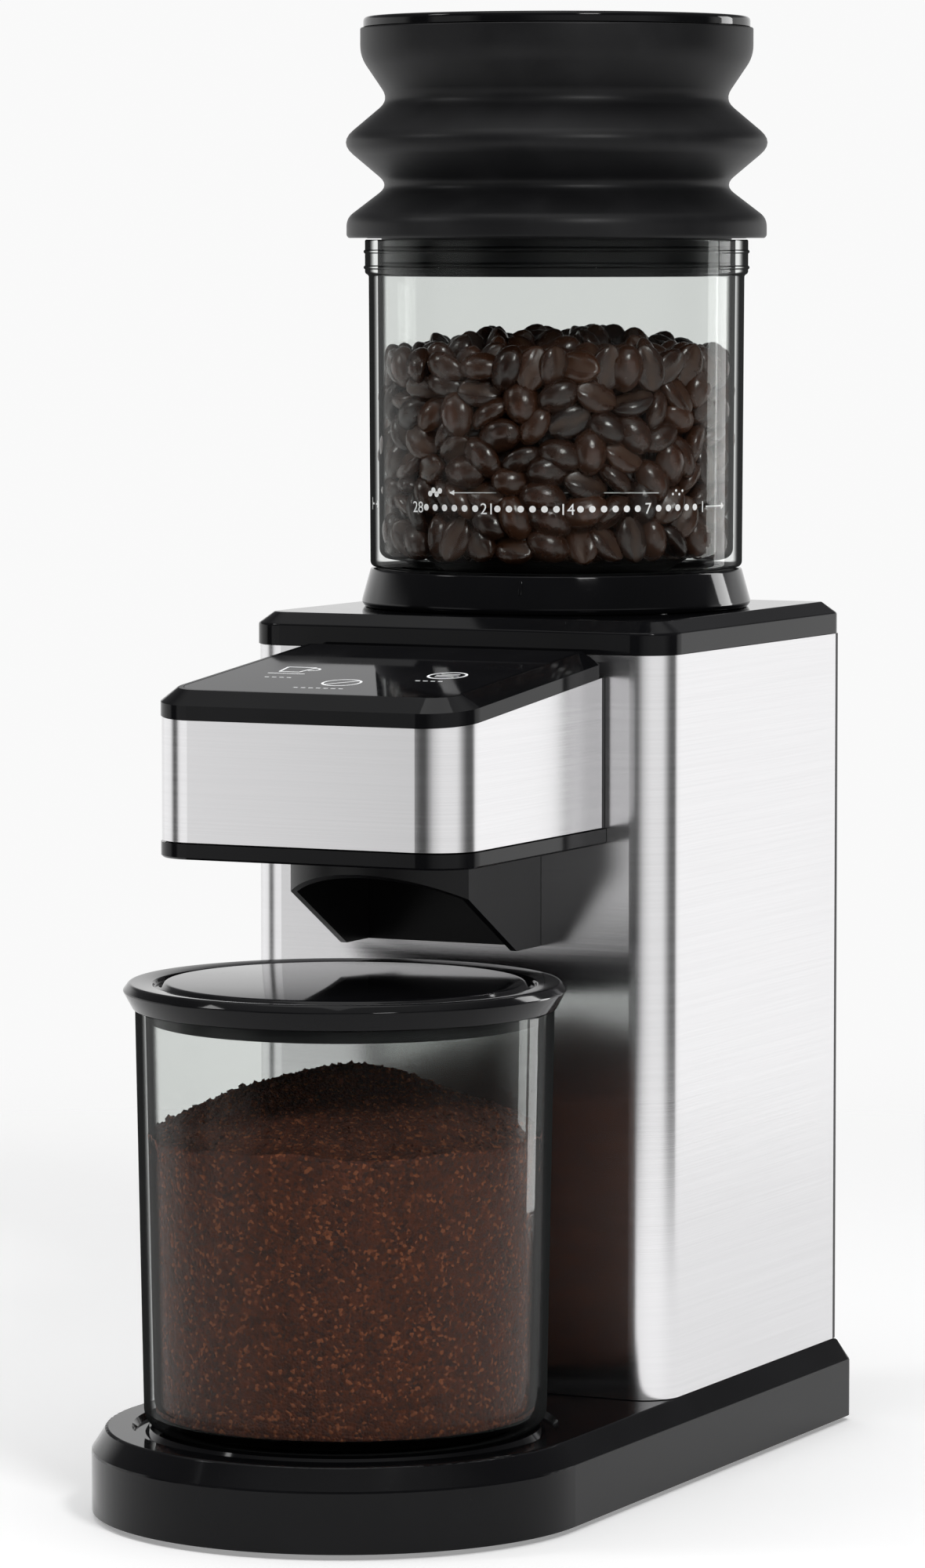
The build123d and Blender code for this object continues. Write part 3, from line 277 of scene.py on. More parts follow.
# ---------------------------------------------------------------- finishes
def shaded(colour: Colour, factor: float) -> Colour:
    """The colour made darker or lighter by a factor, up to white."""
    red, green, blue = (min(1.0, factor * part) for part in colour)
    return (red, green, blue)


class Finish:
    """A material that is made once, when the first piece asks for it."""

    name: str

    def dress(self, shader: Shader) -> None:
        """Fills the material's tree."""
        raise NotImplementedError

    def material(self) -> bpy.types.Material:
        """Makes the finish's material on the first call.

        Returns:
            The material.
        """
        made = bpy.data.materials.get(self.name)
        if made is None:
            made = bpy.data.materials.new(self.name)
            made.use_nodes = True
            self.dress(Shader(made.node_tree))
        return made


@dataclass(frozen=True)
class GlossPlastic(Finish):
    """Piano-black moulding, with the faint waviness and hairline wear of a polished surface."""

    name: str
    colour: Colour = (0.0035, 0.0035, 0.0040)
    roughness: float = 0.06
    waviness: float = 0.00003
    sheen: float = 0.14

    def dress(self, shader: Shader) -> None:
        """Fills the material's tree.

        Args:
            shader: The empty tree.
        """
        haze = shader.noise(38.0, 3.0)
        hair = shader.noise(900.0, 2.0, (1.0, 0.12, 1.0))
        tint = shader.blend(haze.between(0.3, 0.8), self.colour, shaded(self.colour, 1.5))
        rough = self.roughness + 0.05 * haze.between(0.45, 0.85) + 0.03 * hair.between(0.6, 0.75)
        normal = shader.bump(shader.noise(26.0, 1.0), self.waviness, 0.5)
        surface = shader.principled(
            Base_Color=tint, Roughness=rough, Normal=normal, Specular_IOR_Level=self.sheen
        )
        shader.finish(surface)


@dataclass(frozen=True)
class SatinPlastic(Finish):
    """Moulded plastic with a fine spark-eroded grain."""

    name: str
    colour: Colour
    roughness: float = 0.42
    grain: float = 0.00004
    variation: float = 0.25
    ior: float = 1.48

    def dress(self, shader: Shader) -> None:
        """Fills the material's tree.

        Args:
            shader: The empty tree.
        """
        cloud = shader.noise(22.0, 4.0)
        grain = shader.noise(2600.0, 2.0)
        light = shaded(self.colour, 1 + self.variation)
        dark = shaded(self.colour, 1 - self.variation)
        tint = shader.blend((0.7 * cloud + 0.3 * grain).between(0.3, 0.7), dark, light)
        rough = self.roughness + 0.12 * (cloud - 0.5) + 0.10 * (grain - 0.5)
        normal = shader.bump(grain, self.grain, 0.6)
        shader.finish(shader.principled(Base_Color=tint, Roughness=rough, Normal=normal, IOR=self.ior))


@dataclass(frozen=True)
class BrushedSteel(Finish):
    """Stainless sheet brushed along the horizontal."""

    name: str
    colour: Colour = (0.78, 0.775, 0.785)
    roughness: float = 0.2
    anisotropy: float = 0.55

    def dress(self, shader: Shader) -> None:
        """Fills the material's tree.

        Args:
            shader: The empty tree.
        """
        fine = shader.noise(1.0, 2.0, (18.0, 18.0, 5200.0))
        coarse = shader.noise(1.0, 3.0, (7.0, 7.0, 1100.0))
        smear = shader.noise(9.0, 3.0)
        line = 0.6 * fine + 0.4 * coarse
        tint = shader.blend(line.between(0.3, 0.7), shaded(self.colour, 0.93), self.colour)
        rough = self.roughness + 0.10 * (line - 0.5) + 0.05 * (smear - 0.5)
        normal = shader.bump(line, 0.000012, 0.5)
        surface = shader.principled(
            Base_Color=tint, Metallic=1.0, Roughness=rough, Normal=normal, Anisotropic=self.anisotropy
        )
        shader.finish(surface)


@dataclass(frozen=True)
class WorkedMetal(Finish):
    """Turned, ground, plated, sintered or cast metal of an inner part."""

    name: str
    colour: Colour
    roughness: float = 0.3
    pits: float = 0.00002
    metallic: float = 1.0

    def dress(self, shader: Shader) -> None:
        """Fills the material's tree.

        Args:
            shader: The empty tree.
        """
        marks = shader.noise(1500.0, 3.0, (1.0, 1.0, 2.5))
        stain = shader.noise(60.0, 4.0)
        tint = shader.blend(stain.between(0.35, 0.7), shaded(self.colour, 0.8), self.colour)
        rough = self.roughness + 0.16 * (stain - 0.5) + 0.12 * (marks - 0.5)
        normal = shader.bump(marks, self.pits, 0.6)
        surface = shader.principled(
            Base_Color=tint, Metallic=self.metallic, Roughness=rough, Normal=normal
        )
        shader.finish(surface)


@dataclass(frozen=True)
class SoftRubber(Finish):
    """Rubber or silicone with a powdery bloom and a fine matt grain."""

    name: str
    colour: Colour = (0.0060, 0.0060, 0.0066)
    bloom: Colour = (0.018, 0.018, 0.019)
    roughness: float = 0.42
    ior: float = 1.26

    def dress(self, shader: Shader) -> None:
        """Fills the material's tree.

        Args:
            shader: The empty tree.
        """
        dust = shader.noise(70.0, 4.0)
        grain = shader.noise(3200.0, 1.0)
        tint = shader.blend(0.35 * dust.between(0.4, 0.8) + 0.15 * grain, self.colour, self.bloom)
        rough = self.roughness + 0.10 * (dust - 0.5) + 0.06 * (grain - 0.5)
        normal = shader.bump(0.7 * grain + 0.3 * dust, 0.00003, 0.5)
        shader.finish(shader.principled(Base_Color=tint, Roughness=rough, Normal=normal, IOR=self.ior))


@dataclass(frozen=True)
class ClearPlastic(Finish):
    """Clear moulding: open where it is looked through squarely, with painted dark shade at its edges in
    place of the dark that refraction gives there.
    """

    name: str
    clear: Colour = (0.897, 0.906, 0.899)
    # Colour of the painted edge shade.
    edge: Colour = (0.012, 0.0125, 0.0125)
    mirror: float = 0.002
    haze: float = 0.0025
    sides: float = 0.14
    edge_start: float = 0.68
    edge_full: float = 0.79

    def dress(self, shader: Shader) -> None:
        """Fills the material's tree.

        Args:
            shader: The empty tree.
        """
        facing = shader.add("ShaderNodeLayerWeight", {}, {"Blend": 0.5}, "Facing")
        wisp = shader.noise(30.0, 3.0)
        share = self.mirror + self.haze * facing.between(0.05, 0.2) + self.sides * facing**3.0
        tint = shader.blend(wisp, (0.90, 0.91, 0.90), (0.94, 0.95, 0.94))
        rough = 0.015 + 0.03 * wisp.between(0.5, 0.8)
        gloss = shader.principled(Base_Color=tint, Metallic=1.0, Roughness=rough)
        # Painted shade: a near-black matt layer without reflection, mixed in where the wall is seen
        # edge-on.
        shade = shader.blend(wisp, self.edge, shaded(self.edge, 1.3))
        edge = shader.principled(Base_Color=shade, Roughness=0.3 + 0.1 * wisp, Specular_IOR_Level=0.0)
        through = shader.add("ShaderNodeBsdfTransparent", {}, {"Color": (*self.clear, 1.0)}, "BSDF")
        open_part = self._mix(shader, share.clamped(), through, gloss)
        rim = facing.between(self.edge_start, self.edge_full)
        shader.finish(self._mix(shader, (0.94 * rim).clamped(), open_part, edge))

    @staticmethod
    def _mix(shader: Shader, share: Signal, low: Signal, high: Signal) -> Signal:
        """Mixes two shaders."""
        return shader.add("ShaderNodeMixShader", {}, {0: share, 1: low, 2: high}, "Shader")


@dataclass(frozen=True)
class PanelGlass(Finish):
    """Black back-printed glass of the touch panel, with the faint smears of fingers."""

    name: str
    colour: Colour = (0.006, 0.006, 0.007)

    def dress(self, shader: Shader) -> None:
        """Fills the material's tree.

        Args:
            shader: The empty tree.
        """
        smear = shader.noise(55.0, 4.0, (1.0, 0.5, 1.0))
        tint = shader.blend(smear.between(0.4, 0.9), self.colour, (0.010, 0.010, 0.011))
        rough = 0.045 + 0.07 * smear.between(0.5, 0.85)
        shader.finish(shader.principled(Base_Color=tint, Roughness=rough, IOR=1.52))


@dataclass(frozen=True)
class Print(Finish):
    """Screen-printed ink, which can be given a glow of painted light."""

    name: str
    colour: Colour = (0.86, 0.87, 0.86)
    worn: Colour = (0.72, 0.73, 0.72)
    # Emission of the ink: above zero it is painted light.
    glow: float = 0.0

    def dress(self, shader: Shader) -> None:
        """Fills the material's tree.

        Args:
            shader: The empty tree.
        """
        worn = shader.noise(900.0, 3.0)
        tint = shader.blend(worn.between(0.45, 0.75), self.colour, self.worn)
        rough = 0.4 + 0.15 * (worn - 0.5)
        surface = shader.principled(
            Base_Color=tint, Roughness=rough, Emission_Color=tint, Emission_Strength=self.glow
        )
        shader.finish(surface)


@dataclass(frozen=True)
class CircuitBoard(Finish):
    """Green solder resist with paler tracks under it."""

    name: str
    colour: Colour = (0.012, 0.085, 0.038)
    track: Colour = (0.04, 0.19, 0.08)

    def dress(self, shader: Shader) -> None:
        """Fills the material's tree.

        Args:
            shader: The empty tree.
        """
        across = shader.noise(1.0, 0.0, (420.0, 60.0, 60.0))
        along = shader.noise(1.0, 0.0, (60.0, 420.0, 420.0))
        tracks = across.between(0.56, 0.58) + along.between(0.6, 0.62)
        tint = shader.blend(tracks.clamped(), self.colour, self.track)
        normal = shader.bump(tracks.clamped(), 0.00004, 0.6)
        shader.finish(shader.principled(Base_Color=tint, Roughness=0.3 + 0.1 * across, Normal=normal))


@dataclass(frozen=True)
class RoastedBean(Finish):
    """Oily roasted bean, each one its own shade, with a pale thread in its seam."""

    name: str
    dark: Colour = (0.0070, 0.0024, 0.0013)
    light: Colour = (0.078, 0.0290, 0.0135)
    seam: Colour = (0.100, 0.048, 0.024)
    oil: float = 0.6

    def dress(self, shader: Shader) -> None:
        """Fills the material's tree.

        Args:
            shader: The empty tree.
        """
        shade = shader.add("ShaderNodeAttribute", {"attribute_name": "shade"}, {}, "Fac")
        crease = shader.add("ShaderNodeAttribute", {"attribute_name": "crease"}, {}, "Fac")
        mottle = shader.noise(420.0, 4.0)
        skin = shader.blend((0.75 * shade + 0.5 * (mottle - 0.3)).clamped(), self.dark, self.light)
        tint = shader.blend(0.55 * crease, skin, self.seam)
        rough = 0.15 + 0.2 * mottle + 0.3 * crease
        normal = shader.bump(mottle + 0.25 * shader.noise(1300.0, 2.0), 0.00025, 0.5)
        surface = shader.principled(
            Base_Color=tint, Roughness=rough, Normal=normal, Specular_IOR_Level=self.oil
        )
        shader.finish(surface)


@dataclass(frozen=True)
class GroundCoffee(Finish):
    """Loose grounds: specks from near black to a reddish tan."""

    name: str
    dark: Colour = (0.022, 0.0052, 0.0025)
    middle: Colour = (0.150, 0.037, 0.0130)
    pale: Colour = (0.27, 0.085, 0.033)

    def dress(self, shader: Shader) -> None:
        """Fills the material's tree.

        Args:
            shader: The empty tree.
        """
        cell = shader.grains(1250.0, "Color")
        speck = shader.add("ShaderNodeSeparateColor", {}, {"Color": cell}, "Red")
        dome = shader.grains(1250.0)
        coarse = shader.grains(520.0)
        cloud = shader.noise(120.0, 4.0)
        body = shader.blend((0.65 * speck + 0.5 * (cloud - 0.3)).clamped(), self.dark, self.middle)
        tint = shader.blend(0.9 * speck.between(0.84, 0.98), body, self.pale)
        height = 1.0 - (0.6 * dome + 0.6 * coarse)
        normal = shader.bump(height, 0.0009, 0.9)
        shader.finish(shader.principled(Base_Color=tint, Roughness=0.72 + 0.2 * speck, Normal=normal))


@dataclass(frozen=True)
class PaleFloor(Finish):
    """Plain pale studio floor that runs out into the backdrop."""

    name: str
    colour: Colour = (0.90, 0.90, 0.90)
    glow: float = 0.30
    reach: Point = (0.34, 0.95)

    def dress(self, shader: Shader) -> None:
        """Fills the material's tree.

        Args:
            shader: The empty tree.
        """
        where = shader.add("ShaderNodeTexCoord", output="Object")
        from_middle = shader.add(
            "ShaderNodeVectorMath", {"operation": "LENGTH"}, {0: where}, "Value"
        )
        cloud = shader.noise(3.0, 2.0)
        tint = shader.blend(cloud, shaded(self.colour, 0.99), self.colour)
        solid = shader.principled(
            Base_Color=tint, Roughness=0.9, Emission_Color=tint, Emission_Strength=self.glow
        )
        through = shader.add("ShaderNodeBsdfTransparent", {}, {"Color": (1, 1, 1, 1)}, "BSDF")
        share = 1.0 - from_middle.between(*self.reach)
        surface = shader.add("ShaderNodeMixShader", {}, {0: share, 1: through, 2: solid}, "Shader")
        shader.finish(surface)


class Finishes(Enum):
    """The finishes of the grinder, one for each kind of surface."""

    GLOSS = GlossPlastic("black_gloss_finish")
    SATIN = SatinPlastic("black_satin_finish", (0.0060, 0.0060, 0.0066), 0.34, ior=1.30)
    STEEL = BrushedSteel("brushed_steel_finish")
    BAND = BrushedSteel("brushed_band_finish", roughness=0.17)
    RUBBER = SoftRubber("black_rubber_finish", roughness=0.6)
    SILICONE = SoftRubber("silicone_finish")
    HOPPER = ClearPlastic("clear_hopper_finish")
    JAR = ClearPlastic("clear_jar_finish", haze=0.003, edge_start=0.65, edge_full=0.77)
    PANEL = PanelGlass("panel_glass_finish")
    INK = Print("scale_ink_finish")
    # The icon ink glows: painted light that brightens the printed signs under the panel glass.
    ICON = Print("icon_ink_finish", (0.92, 0.93, 0.94), (0.86, 0.87, 0.88), 0.35)
    SCREW = WorkedMetal("plated_screw_finish", (0.58, 0.58, 0.57), 0.26)
    FRAME = SatinPlastic("frame_plastic_finish", (0.085, 0.085, 0.088), 0.5, 0.00006)
    WHITE = SatinPlastic("natural_plastic_finish", (0.66, 0.65, 0.60), 0.45, 0.00004, 0.06)
    BOARD = CircuitBoard("circuit_board_finish")
    MOTOR = WorkedMetal("zinc_steel_finish", (0.50, 0.50, 0.48), 0.34)
    CORE = WorkedMetal("lamination_finish", (0.17, 0.155, 0.14), 0.42, 0.00006)
    FERRITE = WorkedMetal("ferrite_finish", (0.05, 0.05, 0.052), 0.62, 0.00008, 0.0)
    CARBON = WorkedMetal("carbon_finish", (0.03, 0.03, 0.031), 0.5, 0.00006, 0.0)
    COPPER = WorkedMetal("copper_finish", (0.78, 0.39, 0.22), 0.28)
    BRONZE = WorkedMetal("bronze_finish", (0.60, 0.41, 0.20), 0.42, 0.00006)
    GEAR = WorkedMetal("gear_steel_finish", (0.46, 0.46, 0.46), 0.28)
    NYLON = SatinPlastic("gear_nylon_finish", (0.78, 0.75, 0.65), 0.4, 0.00003, 0.05)
    BURR = WorkedMetal("burr_steel_finish", (0.38, 0.38, 0.39), 0.3, 0.00004)
    CAST = WorkedMetal("die_cast_finish", (0.52, 0.52, 0.51), 0.46, 0.00009)
    BEAN = RoastedBean("roasted_bean_finish")
    GROUNDS = GroundCoffee("ground_coffee_finish")
    # Near-black finish of painted shade for the gaps between the beans.
    FILLING = SatinPlastic("bean_shadow_finish", (0.006, 0.003, 0.002), 0.85, 0.0004, 0.6)


SLOT_FINISH: dict[str, Finishes] = {
    "black_gloss": Finishes.GLOSS,
    "black_satin": Finishes.SATIN,
    "steel_wrap": Finishes.STEEL,
    "steel_band": Finishes.BAND,
    "rubber_black": Finishes.RUBBER,
    "silicone_black": Finishes.SILICONE,
    "clear_hopper": Finishes.HOPPER,
    "clear_jar": Finishes.JAR,
    "panel_glass": Finishes.PANEL,
    "screw_steel": Finishes.SCREW,
    "frame_plastic": Finishes.FRAME,
    "white_plastic": Finishes.WHITE,
    "board_green": Finishes.BOARD,
    "motor_steel": Finishes.MOTOR,
    "lamination": Finishes.CORE,
    "ferrite": Finishes.FERRITE,
    "carbon": Finishes.CARBON,
    "copper": Finishes.COPPER,
    "bronze": Finishes.BRONZE,
    "gear_steel": Finishes.GEAR,
    "gear_nylon": Finishes.NYLON,
    "burr_steel": Finishes.BURR,
    "gearbox_cast": Finishes.CAST,
}


# ---------------------------------------------------------------- meshes
@dataclass(frozen=True)
class Corner:
    """A corner of a turned profile: radius and height in millimetres, and how far it is rounded."""

    r: float
    z: float
    soft: float = 0.0


def softened(corners: Sequence[Corner], closed: bool, steps: int = 6) -> list[Point]:
    """Rounds a profile's corners.

    Args:
        corners: The profile's corners in order.
        closed: Whether the last corner joins the first.
        steps: Points along each rounded corner, less one.

    Returns:
        Radius and height of each point, in millimetres.
    """
    points: list[Point] = []
    count = len(corners)
    for index, corner in enumerate(corners):
        at_end = not closed and index in (0, count - 1)
        if corner.soft <= 0 or at_end:
            points.append((corner.r, corner.z))
            continue
        here = np.array([corner.r, corner.z])
        ends = []
        for other in (corners[index - 1], corners[(index + 1) % count]):
            way = np.array([other.r, other.z]) - here
            length = float(np.linalg.norm(way))
            share = SHARED_EDGE if other.soft > 0 else OWN_EDGE
            ends.append(here + way / length * min(corner.soft, share * length))
        for t in np.linspace(0, 1, steps + 1):
            spot = (1 - t) ** 2 * ends[0] + 2 * t * (1 - t) * here + t * t * ends[1]
            points.append((float(spot[0]), float(spot[1])))
    return points


def mesh_piece(
    name: str,
    verts: np.ndarray,
    faces: Sequence[Sequence[int]],
    finish: Finishes,
    sharp: float = CREASE,
) -> bpy.types.Object:
    """Makes an object with smooth faces and sharp creases.

    Args:
        name: The piece's name.
        verts: Its points in metres.
        faces: Corners of each face.
        finish: Its finish.
        sharp: Angle in degrees over which an edge stays sharp.

    Returns:
        The object.
    """
    mesh = bpy.data.meshes.new(name)
    mesh.from_pydata(np.asarray(verts, float).tolist(), [], [list(map(int, f)) for f in faces])
    mesh.polygons.foreach_set("use_smooth", [True] * len(mesh.polygons))
    mesh.set_sharp_from_angle(angle=radians(sharp))
    mesh.materials.append(finish.value.material())
    mesh.validate()
    piece = bpy.data.objects.new(name, mesh)
    bpy.context.scene.collection.objects.link(piece)
    return piece


def turned(
    name: str, corners: Sequence[Corner], centre: Point, finish: Finishes, segments: int = SEGMENTS
) -> bpy.types.Object:
    """Makes a turned piece from its profile.

    Args:
        name: The piece's name.
        corners: Profile that runs anticlockwise with the radius to the right; it starts and ends on
            the axis, or closes on itself.
        centre: Place of the axis in metres.
        finish: Its finish.
        segments: Number of steps round the axis.

    Returns:
        The object.
    """
    closed = corners[0].r > TINY
    profile = softened(corners, closed)
    angles = np.linspace(0, 2 * pi, segments, endpoint=False)
    verts: list[tuple[float, float, float]] = []
    rows: list[np.ndarray] = []
    for r, z in profile:
        if r < TINY:
            rows.append(np.full(segments, len(verts)))
            verts.append((centre[0], centre[1], z * MM))
            continue
        rows.append(np.arange(segments) + len(verts))
        for a in angles:
            verts.append((centre[0] + r * MM * cos(a), centre[1] + r * MM * sin(a), z * MM))
    faces: list[list[int]] = []
    pairs = list(zip(rows, rows[1:] + rows[:1])) if closed else list(zip(rows, rows[1:]))
    for low, high in pairs:
        for i in range(segments):
            j = (i + 1) % segments
            corner_ids = [low[i], low[j], high[j], high[i]]
            faces.append(list(dict.fromkeys(corner_ids)))
    return mesh_piece(name, np.array(verts), faces, finish)


def lettering(text: str, height: float) -> tuple[np.ndarray, list[list[int]]]:
    """Flat shape of a number.

    Args:
        text: The digits.
        height: Height of a digit in metres.

    Returns:
        Points in metres, centred on the origin, and faces.
    """
    curve = bpy.data.curves.new("digits", "FONT")
    curve.body = text
    curve.size = height / DIGIT_SHARE
    curve.align_x = "CENTER"
    curve.align_y = "CENTER"
    holder = bpy.data.objects.new("digits", curve)
    bpy.context.scene.collection.objects.link(holder)
    bpy.context.view_layer.update()
    mesh = bpy.data.meshes.new_from_object(holder)
    verts = np.array([v.co for v in mesh.vertices], float).reshape(-1, 3)
    faces = [list(p.vertices) for p in mesh.polygons]
    bpy.data.objects.remove(holder)
    bpy.data.curves.remove(curve)
    bpy.data.meshes.remove(mesh)
    verts[:, :2] -= (verts[:, :2].min(0) + verts[:, :2].max(0)) / 2
    return verts, faces


@dataclass
class Sketch:
    """Flat artwork in millimetres, gathered from simple shapes."""

    verts: list[Point] = field(default_factory=list)
    faces: list[list[int]] = field(default_factory=list)

    def polygon(self, points: Sequence[Point]) -> None:
        """Adds a filled polygon.

        Args:
            points: Its corners in order.
        """
        start = len(self.verts)
        self.verts += list(points)
        self.faces.append(list(range(start, start + len(points))))

    def bar(self, a: Point, b: Point, width: float) -> None:
        """Adds a straight stroke.

        Args:
            a: Where it starts.
            b: Where it ends.
            width: Its width.
        """
        along = np.array(b) - np.array(a)
        side = np.array([-along[1], along[0]]) / np.linalg.norm(along) * width / 2
        ends = [np.array(a) - side, np.array(b) - side, np.array(b) + side, np.array(a) + side]
        self.polygon([(float(p[0]), float(p[1])) for p in ends])

    def arc(self, centre: Point, radius: float, start: float, stop: float, width: float) -> None:
        """Adds a round stroke.

        Args:
            centre: Middle of its circle.
            radius: Radius of its middle line.
            start: Angle in degrees where it starts.
            stop: Angle in degrees where it ends.
            width: Its width.
        """
        steps = max(2, int(abs(stop - start) / ARC_STEP))
        angles = np.radians(np.linspace(start, stop, steps + 1))
        for a, b in zip(angles, angles[1:]):
            ends = [(radius - width / 2, a), (radius + width / 2, a)]
            ends += [(radius + width / 2, b), (radius - width / 2, b)]
            self.polygon([(centre[0] + r * cos(t), centre[1] + r * sin(t)) for r, t in ends])

    def disc(self, centre: Point, radius: float) -> None:
        """Adds a filled circle."""
        turns = [2 * pi * i / DISC_SIDES for i in range(DISC_SIDES)]
        self.polygon([(centre[0] + radius * cos(t), centre[1] + radius * sin(t)) for t in turns])

    def digits(self, text: str, centre: Point, height: float) -> None:
        """Adds a number.

        Args:
            text: Its digits.
            centre: Its middle.
            height: Height of a digit.
        """
        verts, faces = lettering(text, height * MM)
        start = len(self.verts)
        self.verts += [(centre[0] + v[0] / MM, centre[1] + v[1] / MM) for v in verts]
        self.faces += [[start + i for i in face] for face in faces]


# ---------------------------------------------------------------- sub-assemblies
@dataclass
class CladBody:
    """The CAD nodes that are shown as they are: base, body, head, drive and burrs."""

    nodes: dict[str, bpy.types.Object]
    slots: dict[str, str]

    def dress(self) -> None:
        """Gives every CAD node the finish of its slot."""
        for name, obj in self.nodes.items():
            finish = SLOT_FINISH[self.slots[name]]
            obj.data.materials.clear()
            obj.data.materials.append(finish.value.material())
            log.info("dressed %s with %s", name, finish.name.lower())


@dataclass
class Collar:
    """Fixed tapered ring under the hopper, with its raised index mark."""

    centre: Point
    foot: float
    bore: float = 46.0
    height: float = 10.2
    foot_radius: float = 52.0
    top_radius: float = 49.5
    mark_angle: float = 14.4
    mark_width: float = 1.0
    mark_length: float = 3.8
    mark_below_top: float = 3.1
    mark_steps: int = 8
    mark_layers: tuple[Point, ...] = ((-0.3, 1.0), (0.25, 1.0), (0.4, 0.7))

    def build(self) -> list[bpy.types.Object]:
        """Builds the ring and its mark."""
        return [self._ring(), self._mark()]

    def _ring(self) -> bpy.types.Object:
        """Turns the tapered ring.

        Returns:
            The ring.
        """
        z0, z1 = self.foot, self.foot + self.height
        corners = [
            Corner(self.bore, z0),
            Corner(self.foot_radius - 0.9, z0, 0.3),
            Corner(self.foot_radius, z0 + 1.2, 0.7),
            Corner(self.top_radius, z1, 0.6),
            Corner(self.bore, z1, 0.5),
        ]
        ring = turned("hopper_collar_ring", corners, self.centre, Finishes.GLOSS)
        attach(ring, "housing")
        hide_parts("hopper_collar")
        return ring

    def _mark(self) -> bpy.types.Object:
        """Raises a rounded mark on the slope, at which the hopper's numbers are read.

        Each of its layers has a height over the slope and a share of the full outline.

        Returns:
            The object.
        """
        steps, half = self.mark_steps, self.mark_width / 2
        outline = []
        for end in (1, -1):
            for i in range(steps + 1):
                turn = pi * i / steps
                rise = self.mark_length / 2 - half + half * sin(turn)
                outline.append((end * half * cos(turn), end * rise))
        verts = []
        for proud, share in self.mark_layers:
            for x, y in outline:
                z = self.foot + self.height - self.mark_below_top + y * share
                slope = (z - self.foot) / self.height
                r = self.foot_radius + (self.top_radius - self.foot_radius) * slope + proud
                turn = radians(self.mark_angle) + x * share / r
                verts.append(
                    (self.centre[0] + r * MM * sin(turn), self.centre[1] - r * MM * cos(turn), z * MM)
                )
        n = len(outline)
        faces = [list(range(n))[::-1], list(range(2 * n, 3 * n))]
        for layer in (0, n):
            for i in range(n):
                j = (i + 1) % n
                faces.append([layer + i, layer + j, layer + n + j, layer + n + i])
        mark = mesh_piece("collar_index_mark", np.array(verts), faces, Finishes.GLOSS)
        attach(mark, "housing")
        return mark


